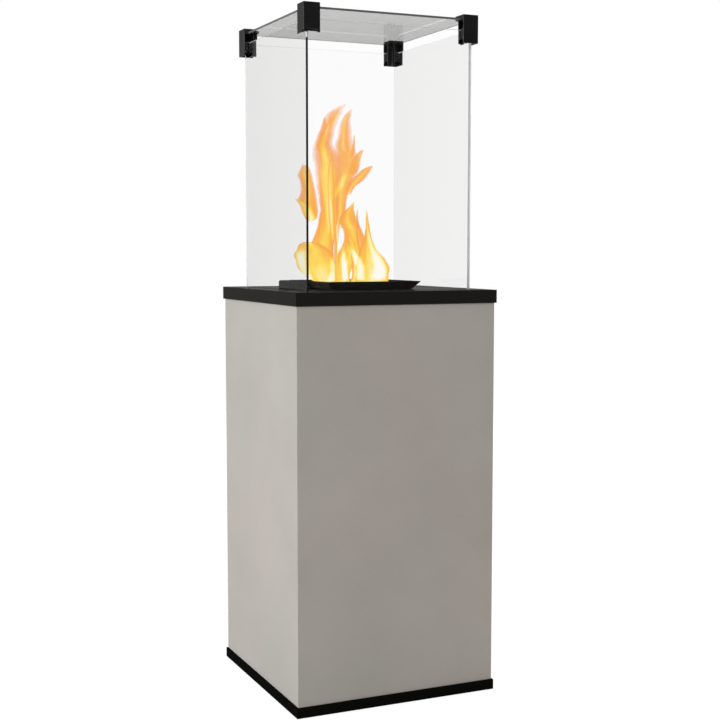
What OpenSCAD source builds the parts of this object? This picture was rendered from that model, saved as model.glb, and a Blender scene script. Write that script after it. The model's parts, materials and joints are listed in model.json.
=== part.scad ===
// Gas patio heater: a square clad column with a gas bottle inside and a glass flame chamber on top.
// Millimetres, +Z up. The origin is on the floor, under the centre of the four feet.
// The front is -Y, the service door is at the back, on +Y.

/* [Column] */
// Side of the square top plate
plate_w = 420; // [410:1:460]
// Height of the top plate's folded edge
plate_t = 25.5; // [23:0.5:40]
// How far the top plate stands past the cladding
plate_lip = 3.5; // [2.5:0.5:5]
// Height of the cladding panels
clad_h = 750.5; // [745:0.5:900]
// Thickness of the cladding panels
clad_t = 6; // [5:0.5:8]
// Height of the base band
band_h = 19.5; // [17:0.5:40]
// How far the base band stands past the cladding
band_lip = 3; // [1:0.5:3.5]
// How far the rubber feet stand out under the band
foot_h = 3; // [2:0.5:8]
// Sheet thickness of the base, the plate and the frame
sheet_t = 2; // [1.5:0.1:2.5]
// Leg width of the corner posts
post_w = 25; // [20:1:30]

/* [Glass] */
// Outside width of the glass box
glass_w = 342; // [335:1:346]
// Thickness of the panes and of the lid
glass_t = 4; // [4:0.5:6]
// Height of the panes
pane_h = 510; // [400:1:600]
// How deep the panes stand in the plate
pane_seat = 12; // [9:0.5:14]
// Gap between the pane tops and the lid
air_gap = 18.5; // [12:0.5:30]
// Play of a pane in its slot
pane_play = 0.5; // [0.3:0.1:0.8]
// Thickness of the strip under each pane
seal_t = 1.5; // [1:0.5:2]

/* [Corner clips] */
// Height of a clip
clip_h = 54; // [50:1:70]
// Width of a clip along each pane
clip_w = 32.5; // [30:0.5:40]
// How far a clip's outer face stands off the glass
clip_out = 9.5; // [6:0.5:12]
// Depth of a clip from its outer face to the back of its inner wall
clip_d = 22; // [20:0.5:26]
// Sheet thickness of a clip
clip_t = 2; // [1.5:0.1:3]
// Thickness of the pad between the lid and the clip's cover
pad_t = 4; // [2:0.5:6]
// Height of the liner that grips a pane
liner_h = 17; // [12:1:20]
// Play between a liner and a pane
liner_play = 0.3; // [0.2:0.1:0.6]
// Width of the notch in the lower edge of the front left clip
notch_w = 20; // [10:1:24]
// Width of the narrow notch in the side of that clip
notch_side = 8; // [4:0.5:12]
// Height of both notches
notch_h = 5; // [2:0.5:8]

/* [Burner] */
// Width of the flared tray at its foot
tray_w = 175; // [170:1:190]
// How far each tray side leans out
tray_flare = 12.5; // [8:0.5:18]
// Height of the flared tray
tray_h = 14.5; // [12:0.5:25]
// Sheet thickness of the tray and of the pilot cover
tray_t = 1.5; // [1:0.1:2]
// Depth of the burner pan under the deck
pan_d = 28.5; // [22:0.5:32]
// Sheet thickness of the burner pan
pan_t = 1; // [0.8:0.1:1.5]
// Width of the rim that the pan hangs by
pan_rim = 6; // [5:0.5:7]
// Outside width of the burner loop
loop_w = 152; // [140:1:154]
// Width of the burner loop's tube
loop_tube = 18; // [14:1:22]
// Height of the burner loop's tube
loop_h = 14; // [10:0.5:16]
// Wall of the burner loop's tube
loop_t = 1.2; // [1:0.1:2]
// Number of flame ports along each side of the loop
port_n = 9; // [5:1:12]
// Radius of a flame port
port_r = 1.6; // [1:0.1:2.2]
// Length of the pilot cover
cover_l = 56; // [50:1:64]
// Width of the pilot cover
cover_w = 37; // [30:0.5:40]
// Height of the pilot cover
cover_h = 16; // [14:0.5:22]

/* [Gas bottle] */
// Radius of the bottle
bottle_r = 150; // [140:1:155]
// Height of the bottle to the top of its collar
bottle_h = 590; // [540:1:600]
// Wall of the bottle
bottle_t = 3; // [2:0.5:4]
// Radius of the bottle's foot ring
ring_r = 121; // [110:1:125]
// Radius of the bottle's collar
collar_r = 85; // [80:1:90]
// Radius of the valve's handwheel
wheel_r = 27; // [22:1:32]
// Radius of the regulator
reg_r = 30; // [26:1:34]
// Radius of the gas hose
hose_r = 6.5; // [5:0.5:8]

/* [Door and controls] */
// Depth of the door's folded edge
door_d = 15; // [12:0.5:16]
// Sheet thickness of the door
door_t = 1.5; // [1:0.1:2]
// Gap between the door and the side panels
door_gap = 4.5; // [4.5:0.5:7]
// Height of the recessed control panel over the door
panel_h = 83; // [80:1:110]
// Radius of the hinge pins
pin_r = 4; // [3:0.5:5]
// Radius of the control knob
knob_r = 18; // [14:1:24]
// Length of the control knob
knob_l = 14; // [12:0.5:15]
// Radius of the igniter button
button_r = 8; // [6:0.5:10]
// How far the knob and the button are pushed in
press = 4; // [2:0.5:4.5]
// Radius of the lock's barrel
lock_r = 9; // [7:0.5:11]
// Number of louvres in a column
louvre_n = 5; // [2:1:8]

/* [Hidden] */
$fn = 48;

// Radial clearance of a running fit
fit = 0.05;
// Overrun of a cut past the face that it opens
cut = 1;

// Heights
tray_top = foot_h + band_h;
plate_z = tray_top + clad_h;
deck_z = plate_z + plate_t;
pane_z = deck_z - pane_seat;
pane_top = pane_z + pane_h;
lid_z = pane_top + air_gap;
lid_top = lid_z + glass_t;
clip_top = lid_top + pad_t + clip_t;
clip_z = clip_top - clip_h;
channel_z = pane_z - seal_t;
return_z = plate_z + sheet_t;
frame_z = plate_z - sheet_t;
frame_drop = 26;
fascia_z = frame_z - panel_h;
shield_z = fascia_z - 30;
shield_lip = 6;
vent_l = 40;
vent_w = 7;
vent_pitch = 30;
vent_shift = 20;

// Half widths
plate_r = plate_w / 2;
clad_r = plate_r - plate_lip;
band_r = clad_r + band_lip;
in_r = clad_r - clad_t;
glass_r = glass_w / 2;
deck_r = glass_r - glass_t - pane_play;
slot_r = glass_r + pane_play;
channel_out = slot_r + 10.5;
channel_in = deck_r - 8.5;
return_r = channel_out - 4;
clip_r = glass_r + clip_out;
clip_in = clip_r - clip_d;

// Back of the column
door_face = clad_r - 1.5;
door_y = door_face - door_d;
post_y = door_y - 5;
door_r = in_r - door_gap;
door_z = tray_top + 2;
door_top = fascia_z - 2;
hinge_x = door_r - door_d / 2;
hinge_y = door_face - door_d / 2;
bush_r = pin_r + 3;
bush_t = 1.5;
bush_l = 6;
pin_head = pin_r + 1.5;
pin_head_l = 4;
fascia_r = in_r - 2.5;
fascia_out = clad_r - 0.5;
fascia_face = post_y + sheet_t;

// Feet and screws
foot_r = 16;
foot_at = band_r - 38;
foot_recess_r = 6;
foot_recess = 9;
screw_r = 2;
screw_head = 3.8;
screw_head_l = 2.4;
screw_bite = 4;
panel_screw_z = [tray_top + 60, tray_top + clad_h / 2, plate_z - 60];
panel_screw_in = 12.5;
fascia_screw_z = [fascia_z + 14, frame_z - frame_drop - 8];
small_r = 1.5;
small_head = 2.4;

// Burner
pan_r = tray_w / 2 - 8;
tray_r = tray_w / 2;
pan_z = deck_z - pan_d;
rim_z = deck_z + pan_t;
pan_screw_x = pan_r + 3.6;
pan_screw_y = pan_r * 0.6;
loop_r = loop_w / 2;
loop_top = deck_z + 11.5;
loop_z = loop_top - loop_h;
leg_r = 3;
venturi_r = 15;
venturi_t = 1.5;
throat_r = 9;
venturi_l = 64;
venturi_z = pan_z - venturi_l;
injector_r = 6;
injector_l = 22;
injector_z = venturi_z - injector_l + 8;
pipe_r = 4;

// Pilot, beside the tray on -X
cover_x = -(tray_r + tray_flare + 1);
cover_y = 34;
cover_r = 4;
pilot_x = cover_x - cover_w / 2;
pilot_base = 2;
pilot_gap = 12;
pilot_stem = 18;
probe_r = 2.5;
tube_r = 2;
window_w = 26;

// Gas valve, knob and igniter, on the control panel
valve_x = 60;
valve_z = fascia_z + 42;
valve_w = 60;
valve_y = post_y - 40;
valve_d = 33;
valve_h = 60;
valve_low = valve_z - 34;
inlet_z = valve_z - 24;
inlet_y = valve_y + 15;
inlet_l = 18;
spindle_r = 4;
knob_y = plate_r - 1 - knob_l;
knob_wall = 2;
spindle_y = valve_y + 12;
spindle_end = plate_r - 1 - knob_wall - press - 0.5;
piezo_x = -60;
piezo_r = button_r + 3;
piezo_l = 35;
bezel_t = 2;
button_out = 11;
button_in = 12;

// Bottle
bottle_x = 0;
bottle_y = -10;
bottle_z = tray_top;
dome_low = 50;
dome_top = 70;
dome_gap = 25;
dome_steps = 9;
shoulder_drop = 160;
shoulder = bottle_h - shoulder_drop;
boss_r = 20;
boss_top = shoulder + dome_top + 12;
stem_r = 9;
valve_top = boss_top + 50;
outlet_z = boss_top + 33;
outlet_l = 40;
reg_in = 16;
reg_x = bottle_x - outlet_l - reg_in - 6 - reg_r;
reg_h = 26;
barb_l = 20;
stop_r = bottle_r + 2.5;
stop_h = 30;

// Lock
lock_x = -(in_r - post_w - 17.5);
lock_z = (door_z + door_top) / 2;
lock_head = 12;
cam_t = 3;
cam_l = 30;
cam_w = 14;
cam_y = post_y - sheet_t - 2 - cam_t;

// Hose route, from the regulator up through the heat shield to the valve
hose_x = -120;
hose_back = 20;
hose_y = post_y - hose_back;
clip_rise = 7;
clip_l = 10;
hose_straight = clip_rise + clip_l + 1;
hose_start = [reg_x, bottle_y + reg_r + barb_l, bottle_z + outlet_z];
hose_end = [valve_x - valve_w / 2 - inlet_l, inlet_y, inlet_z];
hose_foot = [hose_x, hose_y, shield_z - hose_straight];
hose_head = [hose_x, hose_y, shield_z + hose_straight];
hose_route = [
  hose_start, hose_start + [0, 20, 0], hose_start + [-10, 60, 10], hose_foot - [0, 0, 10],
  hose_foot + [0, 0, 10], hose_head, hose_head + [0, 0, 10],
  part_way(hose_head, hose_end, [0.19, 0.6, 0.97]), part_way(hose_head, hose_end, [0.53, 1, 1]),
  hose_end - [20, 0, 0], hose_end
];

// Routes of the thin tubes in the burner bay
pipe_start = [valve_x, valve_y, valve_z + 8];
pipe_end = [injector_r + 4, 0, injector_z + 6];
pipe_route = [
  pipe_start, pipe_start - [0, 15, 0], part_way(pipe_start, pipe_end, [0, 0.31, 0.12]),
  part_way(pipe_start, pipe_end, [0.16, 0.72, 1.02]),
  pipe_end + [30, 4, 0], pipe_end + [12, 0, 0], pipe_end
];
pilot_start = [pilot_x, cover_y, deck_z - pilot_stem];
pilot_end = [valve_x - 18, valve_y, valve_z + 12];
pilot_route = [
  pilot_start, pilot_start - [0, 0, 12], part_way(pilot_start, pilot_end, [0, 0.14, 0.88]),
  part_way(pilot_start, pilot_end, [0.12, 0.46, 1]),
  part_way(pilot_start, pilot_end, [0.6, 0.76, 1]),
  pilot_end - [6, 25, 0], pilot_end - [0, 10, 0], pilot_end
];
sense_start = [pilot_x, cover_y + pilot_gap, deck_z - pilot_stem];
sense_end = [valve_x + 18, valve_y, valve_z + 20];
sense_route = [
  sense_start, sense_start - [0, 0, 8], part_way(sense_start, sense_end, [0.03, 0.2, 0.79]),
  part_way(sense_start, sense_end, [0.15, 0.5, 0.87]),
  part_way(sense_start, sense_end, [0.54, 0.63, 0.87]),
  part_way(sense_start, sense_end, [0.85, 0.68, 0.93]),
  sense_end - [2, 22, 0], sense_end - [0, 8, 0], sense_end
];
lead_start = [pilot_x, cover_y - pilot_gap, deck_z - pilot_stem];
lead_end = [piezo_x, post_y - piezo_l, valve_z];
lead_route = [
  lead_start, lead_start - [0, 0, 12], part_way(lead_start, lead_end, [-0.11, 0.13, 0.79]),
  part_way(lead_start, lead_end, [-0.25, 0.49, 1.04]),
  part_way(lead_start, lead_end, [0.19, 0.79, 1.04]),
  lead_end - [10, 18, 0], lead_end - [0, 8, 0], lead_end
];

// Helpers

// Point between two ends, given as a share of the way on each axis
function part_way(a, b, share) = [for (i = [0:2]) a[i] + (b[i] - a[i]) * share[i]];

// Block between two opposite corners
module block(a, b) {
  translate(a)
    cube(b - a);
}

// Upright square block, centred on the axis of the column
module square_block(r, z0, z1) {
  block([-r, -r, z0], [r, r, z1]);
}

// Square frame between two half widths
module square_ring(r_out, r_in, z0, z1) {
  difference() {
    square_block(r_out, z0, z1);
    square_block(r_in, z0 - cut, z1 + cut);
  }
}

// Cylinder that lies along Y, from y0 to y1
module rod_y(x, z, r, y0, y1) {
  translate([x, y1, z])
    rotate([90, 0, 0])
      cylinder(r = r, h = y1 - y0);
}

// Cylinder that lies along X, from x0 to x1
module rod_x(x0, x1, y, z, r) {
  translate([x0, y, z])
    rotate([0, 90, 0])
      cylinder(r = r, h = x1 - x0);
}

// Frustum with a square plan
module frustum(r0, r1, z0, z1) {
  polyhedron(
    points = [
      [-r0, -r0, z0], [r0, -r0, z0], [r0, r0, z0], [-r0, r0, z0],
      [-r1, -r1, z1], [r1, -r1, z1], [r1, r1, z1], [-r1, r1, z1]
    ],
    faces = [
      [0, 1, 2, 3], [7, 6, 5, 4], [0, 4, 5, 1], [1, 5, 6, 2], [2, 6, 7, 3], [3, 7, 4, 0]
    ]
  );
}

// Slot with round ends, cut down through a sheet
module floor_slot(x, y, l, w, z0, z1) {
  translate([x, y, z0]) {
    translate([-l / 2, -w / 2, 0])
      cube([l, w, z1 - z0]);
    for (s = [-1, 1])
      translate([s * l / 2, 0, 0])
        cylinder(d = w, h = z1 - z0);
  }
}

// Mirrors what is drawn on +X, +Y to another corner of the column
module at_corner(sx, sy) {
  mirror([sx < 0 ? 1 : 0, 0, 0])
    mirror([0, sy < 0 ? 1 : 0, 0])
      children();
}

function unit(v) = v / norm(v);

// Smooth curve through a route's points, with the given steps between two of them
function spline(a, b, c, d, t) =
  0.5 * (2 * b + (c - a) * t + (2 * a - 5 * b + 4 * c - d) * t * t
    + (3 * b - a - 3 * c + d) * t * t * t);

function curve(route, steps) = let (last = len(route) - 1) concat(
  [for (i = [0:last - 1], k = [0:steps - 1])
    spline(route[max(i - 1, 0)], route[i], route[i + 1], route[min(i + 2, last)], k / steps)],
  [route[last]]
);

// Direction of the curve at each of its points, straight along the route at both ends
function headings(route, line) = [for (i = [0:len(line) - 1])
  i == 0 ? unit(route[1] - route[0])
    : i == len(line) - 1 ? unit(route[len(route) - 1] - route[len(route) - 2])
    : unit(line[i + 1] - line[i - 1])];

// Side directions carried along the curve without twist
function sides(heads, v, i = 0) = i == len(heads) ? []
  : let (w = unit(v - (v * heads[i]) * heads[i])) concat([w], sides(heads, w, i + 1));

// Round tube along a route
module tube(route, r, steps, count, side) {
  line = curve(route, steps);
  heads = headings(route, line);
  across = sides(heads, side);
  rings = len(line);
  pts = [for (i = [0:rings - 1], k = [0:count - 1])
    line[i] + r * (cos(360 * k / count) * across[i]
      + sin(360 * k / count) * cross(heads[i], across[i]))];
  walls = [for (i = [0:rings - 2], k = [0:count - 1])
    let (a = i * count + k, b = i * count + (k + 1) % count)
      each [[a, a + count, b], [b, a + count, b + count]]];
  first = [for (k = [0:count - 1]) k];
  final = [for (k = [0:count - 1]) rings * count - 1 - k];
  polyhedron(points = pts, faces = concat(walls, [first, final]));
}

// Column

module base_tray() {
  color("#1b1b1b")
    difference() {
      square_block(band_r, foot_h, tray_top);
      square_block(band_r - sheet_t, foot_h - cut, tray_top - sheet_t);
      for (i = [-2:2])
        floor_slot(bottle_x, bottle_y + 24 * i, 90, 8, foot_h, tray_top + cut);
      for (s = [-1, 1])
        for (i = [-1:1])
          floor_slot(s * (foot_at - 8), 34 * i, 8, 16, foot_h, tray_top + cut);
      for (sx = [-1, 1], sy = [-1, 1])
        translate([sx * foot_at, sy * foot_at, foot_h])
          cylinder(r = screw_r + fit, h = band_h + cut);
      translate([hinge_x, hinge_y, foot_h])
        cylinder(r = bush_r + fit, h = band_h + cut);
    }
}

module rubber_foot() {
  foot_l = tray_top - sheet_t;
  difference() {
    rotate_extrude()
      polygon([[0, 0], [foot_r - 1.5, 0], [foot_r, 1.5], [foot_r - 2, foot_l], [0, foot_l]]);
    translate([0, 0, -cut])
      cylinder(r = foot_recess_r, h = foot_recess + cut);
    cylinder(r = screw_r + fit, h = foot_l + cut);
  }
}

module rubber_feet() {
  color("#202020")
    for (sx = [-1, 1], sy = [-1, 1])
      translate([sx * foot_at, sy * foot_at, 0])
        rubber_foot();
}

// Angle post with its corner at y = corner, legs running to the inside of the column
module post(side, corner, inward) {
  mirror([side < 0 ? 1 : 0, 0, 0])
    difference() {
      union() {
        block(
          [in_r - sheet_t, min(corner, corner + inward * post_w), tray_top],
          [in_r, max(corner, corner + inward * post_w), frame_z]
        );
        block(
          [in_r - post_w, min(corner, corner + inward * sheet_t), tray_top],
          [in_r, max(corner, corner + inward * sheet_t), frame_z]
        );
      }
      for (z = panel_screw_z) {
        rod_x(in_r - sheet_t - cut, in_r + cut, corner + inward * panel_screw_in, z, screw_r + fit);
        if (inward > 0)
          rod_y(in_r - panel_screw_in, z, screw_r + fit, corner - cut, corner + sheet_t + cut);
      }
      if (inward < 0)
        for (z = fascia_screw_z)
          rod_y(in_r - panel_screw_in, z, screw_r + fit, corner - sheet_t - cut, corner + cut);
    }
}

module post_front_left() {
  color("#2a2a2a")
    post(-1, -in_r, 1);
}

module post_front_right() {
  color("#2a2a2a")
    post(1, -in_r, 1);
}

module post_rear_left() {
  color("#2a2a2a")
    post(-1, post_y, -1);
}

module post_rear_right() {
  color("#2a2a2a")
    post(1, post_y, -1);
}

// Folded frame that ties the posts together and carries the top plate
module top_frame() {
  inner = in_r - sheet_t;
  back = post_y - sheet_t;
  opening = return_r + 2;
  color("#2a2a2a")
    difference() {
      union() {
        block([-inner, -inner, frame_z - frame_drop], [inner, back, plate_z]);
        block([-in_r, -in_r, frame_z], [in_r, door_face, plate_z]);
      }
      block(
        [-inner + sheet_t, -inner + sheet_t, frame_z - frame_drop - cut],
        [inner - sheet_t, back - sheet_t, frame_z]
      );
      block([-opening, -opening, frame_z - cut], [opening, back - 8, plate_z + cut]);
    }
}

// Stone-look cladding, mitred where the panels meet at the front corners
module panel(outline) {
  translate([0, 0, tray_top])
    linear_extrude(height = clad_h)
      polygon(outline);
}

module front_panel() {
  color("#98928a")
    difference() {
      panel([[-clad_r, -clad_r], [clad_r, -clad_r], [in_r, -in_r], [-in_r, -in_r]]);
      for (z = panel_screw_z, s = [-1, 1])
        rod_y(s * (in_r - panel_screw_in), z, screw_r + fit, -in_r - screw_bite, -in_r + cut);
    }
}

module side_panel(s) {
  mirror([s < 0 ? 1 : 0, 0, 0])
    difference() {
      panel([[clad_r, -clad_r], [clad_r, clad_r], [in_r, clad_r], [in_r, -in_r]]);
      for (z = panel_screw_z, y = [-in_r + panel_screw_in, post_y - panel_screw_in])
        rod_x(in_r - cut, in_r + screw_bite, y, z, screw_r + fit);
    }
}

module left_panel() {
  color("#bfbab3")
    side_panel(-1);
}

module right_panel() {
  color("#98928a")
    side_panel(1);
}

// Pan-head screw along +Z, the underside of its head at the origin
module screw(length) {
  translate([0, 0, -length])
    cylinder(r = screw_r, h = length);
  difference() {
    rotate_extrude()
      polygon([
        [0, 0], [screw_head, 0], [screw_head, screw_head_l * 0.4],
        [screw_head - 1, screw_head_l], [0, screw_head_l]
      ]);
    translate([0, 0, screw_head_l * 0.4])
      cylinder(r = 1.4, h = screw_head_l, $fn = 6);
  }
}

module frame_screws() {
  bite = sheet_t + screw_bite;
  nut_h = 3;
  color("#8a8a8a") {
    for (z = panel_screw_z, s = [-1, 1]) {
      translate([s * (in_r - panel_screw_in), -in_r + sheet_t, z])
        rotate([-90, 0, 0])
          screw(bite);
      for (y = [-in_r + panel_screw_in, post_y - panel_screw_in])
        translate([s * (in_r - sheet_t), y, z])
          rotate([0, -s * 90, 0])
            screw(bite);
    }
    for (sx = [-1, 1], sy = [-1, 1])
      translate([sx * foot_at, sy * foot_at, 0]) {
        translate([0, 0, foot_recess])
          rotate([180, 0, 0])
            screw(tray_top + nut_h + 1 - foot_recess);
        translate([0, 0, tray_top])
          cylinder(r = screw_head, h = nut_h, $fn = 6);
      }
  }
}

// Top

module top_plate() {
  color("#161616")
    difference() {
      square_block(plate_r, plate_z, deck_z);
      square_ring(plate_r - sheet_t, slot_r + sheet_t, return_z, deck_z - sheet_t);
      square_block(return_r, plate_z - cut, return_z + cut);
      square_block(slot_r, plate_z - cut, deck_z + cut);
      square_block(slot_r + sheet_t + cut, plate_z - cut, channel_z);
    }
}

// Channel that the panes stand in, between the plate and the deck
module glass_channel() {
  color("#2a2a2a") {
    square_ring(channel_out, channel_in, channel_z - sheet_t, channel_z);
    square_ring(channel_out, channel_out - sheet_t, return_z, channel_z);
    square_ring(channel_in + sheet_t, channel_in, plate_z, channel_z);
  }
}

module pane_seals() {
  half = glass_r - glass_t - pane_play;
  color("#303030") {
    for (s = [0, 1])
      mirror([0, s, 0])
        block([-glass_r, -glass_r, channel_z], [glass_r, -glass_r + glass_t, pane_z]);
    for (s = [0, 1])
      mirror([s, 0, 0])
        block([-glass_r, -half, channel_z], [-glass_r + glass_t, half, pane_z]);
  }
}

module burner_deck() {
  color("#161616")
    difference() {
      square_block(deck_r, channel_z, deck_z);
      square_block(deck_r - sheet_t, channel_z - cut, deck_z - sheet_t);
      square_block(pan_r + 0.5, channel_z, deck_z + cut);
      block(
        [pilot_x - 5, cover_y - pilot_gap - 5, channel_z],
        [pilot_x + 5, cover_y + pilot_gap + 5, deck_z + cut]
      );
      for (s = [-1, 1], y = [-pan_screw_y, pan_screw_y])
        translate([s * pan_screw_x, y, channel_z])
          cylinder(r = small_r + fit, h = plate_t);
    }
}

module pane_front() {
  color("#dfeaec", 0.4)
    block([-glass_r, -glass_r, pane_z], [glass_r, -glass_r + glass_t, pane_top]);
}

module pane_rear() {
  color("#dfeaec", 0.4)
    mirror([0, 1, 0])
      block([-glass_r, -glass_r, pane_z], [glass_r, -glass_r + glass_t, pane_top]);
}

module pane_left() {
  half = glass_r - glass_t - pane_play;
  color("#dfeaec", 0.4)
    block([-glass_r, -half, pane_z], [-glass_r + glass_t, half, pane_top]);
}

module pane_right() {
  half = glass_r - glass_t - pane_play;
  color("#dfeaec", 0.4)
    mirror([1, 0, 0])
      block([-glass_r, -half, pane_z], [-glass_r + glass_t, half, pane_top]);
}

// Burner

module burner_pan() {
  color("#3a3a3a")
    difference() {
      union() {
        square_block(pan_r, pan_z, rim_z);
        square_block(pan_r + pan_rim, deck_z, rim_z);
      }
      square_block(pan_r - pan_t, pan_z + pan_t, rim_z + cut);
      translate([0, 0, pan_z - cut])
        cylinder(r = venturi_r + fit, h = pan_t + 2 * cut);
      for (s = [-1, 1], y = [-pan_screw_y, pan_screw_y])
        translate([s * pan_screw_x, y, deck_z - cut])
          cylinder(r = small_r + fit, h = pan_t + 2 * cut);
    }
}

// Flared tray, with a window in its -X wall for the pilot flame
module burner_tray() {
  rim_r = tray_r + tray_flare;
  top = rim_z + tray_h;
  slope = tray_flare / tray_h;
  wall = tray_t * sqrt(1 + slope * slope);
  floor_in = tray_r + slope * tray_t - wall;
  color("#1d1d1d")
    difference() {
      frustum(tray_r, rim_r, rim_z, top);
      frustum(floor_in, rim_r - wall + slope * cut, rim_z + tray_t, top + cut);
      square_block(pan_r - pan_t, rim_z - cut, rim_z + tray_t + cut);
      block(
        [-rim_r - cut, cover_y - window_w / 2, rim_z + tray_t],
        [-pan_r, cover_y + window_w / 2, top - 3]
      );
      for (s = [-1, 1], y = [-pan_screw_y, pan_screw_y])
        translate([s * pan_screw_x, y, rim_z - cut])
          cylinder(r = small_r + fit, h = tray_t + 2 * cut);
    }
}

// Square loop of tube with flame ports, fed through a cross tube and standing on four legs
module burner_head() {
  mid = loop_r - loop_tube / 2;
  span = loop_r - loop_tube;
  half = loop_tube / 2;
  pitch = 2 * mid / port_n;
  color("#9a9a98")
    difference() {
      union() {
        square_ring(loop_r, loop_r - loop_tube, loop_z, loop_top);
        block([-span - cut, -half, loop_z], [span + cut, half, loop_top]);
        for (sx = [-1, 1], sy = [-1, 1])
          translate([sx * mid, sy * mid, pan_z + pan_t])
            cylinder(r = leg_r, h = loop_z - pan_z);
      }
      square_ring(loop_r - loop_t, span + loop_t, loop_z + loop_t, loop_top - loop_t);
      block(
        [-mid, -half + loop_t, loop_z + loop_t],
        [mid, half - loop_t, loop_top - loop_t]
      );
      translate([0, 0, loop_z - cut])
        cylinder(r = throat_r - loop_t, h = loop_t + 2 * cut);
      for (i = [0:port_n - 1], s = [-1, 1]) {
        at = -mid + (i + 0.5) * pitch;
        translate([at, s * mid, loop_top - loop_t - cut])
          cylinder(r = port_r, h = loop_t + 2 * cut, $fn = 16);
        translate([s * mid, at, loop_top - loop_t - cut])
          cylinder(r = port_r, h = loop_t + 2 * cut, $fn = 16);
      }
    }
}

// Mixing tube: a bell with air ports, a throat and a diffuser
module venturi() {
  r = venturi_r;
  t = venturi_t;
  bell = 16;
  throat = 34;
  color("#8d8d8a")
    translate([0, 0, venturi_z])
      difference() {
        rotate_extrude()
          polygon([
            [0, 0], [r, 0], [r, bell], [throat_r, throat], [throat_r + 1, throat + 8],
            [r, venturi_l - 6], [r + 6, venturi_l - 6], [r + 6, venturi_l],
            [r, venturi_l], [throat_r, venturi_l + 10], [throat_r, loop_z - venturi_z],
            [throat_r - t, loop_z - venturi_z], [throat_r - t, venturi_l + 10],
            [r - t, venturi_l], [r - t, venturi_l - 6], [throat_r + 1 - t, throat + 8],
            [throat_r - t, throat], [r - t, bell], [r - t, t], [0, t]
          ]);
        translate([0, 0, -cut])
          cylinder(r = injector_r - 2 + fit, h = t + 2 * cut);
        for (a = [0:90:270])
          rotate([0, 0, a + 45])
            rod_x(0, r + cut, 0, 9, 4);
      }
}

// Brass nozzle and elbow under the mixing tube
module injector() {
  z = injector_z;
  color("#b5933f")
    difference() {
      union() {
        translate([0, 0, z])
          cylinder(r = injector_r, h = venturi_z - z);
        translate([0, 0, venturi_z - 7])
          cylinder(r = injector_r + 3, h = 5, $fn = 6);
        translate([0, 0, venturi_z])
          cylinder(r = injector_r - 2, h = 6);
        rod_x(0, pipe_end[0], pipe_end[1], pipe_end[2], pipe_r + 1.5);
      }
      translate([0, 0, z + 4])
        cylinder(r = 2, h = venturi_z - z);
      translate([0, 0, venturi_z - 1])
        cylinder(r = 0.9, h = 8, $fn = 16);
    }
}

module supply_pipe() {
  color("#a8a8a4")
    tube(pipe_route, pipe_r, 3, 10, [0, 0, 1]);
}

// Pilot

// Outline of the pilot cover across its width, with rounded upper edges
function cover_outline(w, h, r) = concat(
  [[0, 0]],
  [for (a = [180:-22.5:90]) [r + r * cos(a), h - r + r * sin(a)]],
  [for (a = [90:-22.5:0]) [w - r + r * cos(a), h - r + r * sin(a)]],
  [[w, 0]]
);

module cover_solid(inset, drop) {
  w = cover_w - 2 * inset;
  translate([cover_x - cover_w + inset, cover_y + cover_l / 2 - inset, deck_z - drop])
    rotate([90, 0, 0])
      linear_extrude(height = cover_l - 2 * inset)
        polygon(cover_outline(w, cover_h - inset + drop, cover_r - inset));
}

module pilot_cover() {
  color("#1d1d1d")
    difference() {
      cover_solid(0, 0);
      cover_solid(tray_t, cut);
      block(
        [cover_x - tray_t - cut, cover_y - window_w / 2, deck_z - cut],
        [cover_x + cut, cover_y + window_w / 2, deck_z + cover_h - 5]
      );
      for (i = [-1, 1])
        for (k = [0:3])
          block(
            [cover_x - cover_w - cut, cover_y + i * (3 + 5 * k) - 1, deck_z + 4],
            [cover_x - cover_w + tray_t + cut, cover_y + i * (3 + 5 * k) + 1, deck_z + 10]
          );
    }
}

// Pilot hood on its bracket, with seats for the probe and the electrode
module pilot_burner() {
  color("#a39a86")
    difference() {
      union() {
        block(
          [pilot_x - 8, cover_y - pilot_gap - 8, deck_z],
          [pilot_x + 8, cover_y + pilot_gap + 8, deck_z + pilot_base]
        );
        translate([pilot_x, cover_y, deck_z - pilot_stem])
          cylinder(r = 4, h = pilot_stem + 1);
        translate([pilot_x, cover_y, deck_z + pilot_base])
          cylinder(r = 5.5, h = 9);
      }
      translate([pilot_x, cover_y, deck_z + pilot_base + 2])
        cylinder(r = 4.3, h = 5.5);
      block(
        [pilot_x, cover_y - 4, deck_z + pilot_base + 3],
        [pilot_x + 9, cover_y + 4, deck_z + pilot_base + 7]
      );
      for (s = [-1, 1])
        translate([pilot_x, cover_y + s * pilot_gap, deck_z - cut])
          cylinder(r = probe_r + fit, h = pilot_base + 2 * cut);
    }
}

module pilot_tube() {
  color("#b9b9b5")
    tube(pilot_route, tube_r, 4, 8, [1, 0, 0]);
}

// Flame probe in the pilot bracket and its lead to the valve
module thermocouple() {
  color("#b87333") {
    translate([pilot_x, cover_y + pilot_gap, deck_z - pilot_stem])
      cylinder(r = probe_r, h = pilot_stem + 8);
    translate([pilot_x, cover_y + pilot_gap, deck_z + 8])
      cylinder(r1 = probe_r, r2 = 1.2, h = 3);
    translate([pilot_x, cover_y + pilot_gap, deck_z + pilot_base])
      cylinder(r = 3.6, h = 2.5, $fn = 6);
    tube(sense_route, 1.5, 4, 8, [1, 0, 0]);
  }
}

// Ceramic body with a spark wire that leans to the pilot hood
module ignition_electrode() {
  y = cover_y - pilot_gap;
  color("#e8e4da") {
    translate([pilot_x, y, deck_z - pilot_stem])
      cylinder(r = probe_r, h = pilot_stem + 5);
    translate([pilot_x, y, deck_z + pilot_base])
      cylinder(r = 3.4, h = 2);
    translate([pilot_x, y, deck_z + 4])
      cylinder(r = 0.8, h = 6, $fn = 16);
    translate([pilot_x, y, deck_z + 10])
      rotate([-65, 0, 0])
        cylinder(r = 0.8, h = 4, $fn = 16);
  }
}

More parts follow.
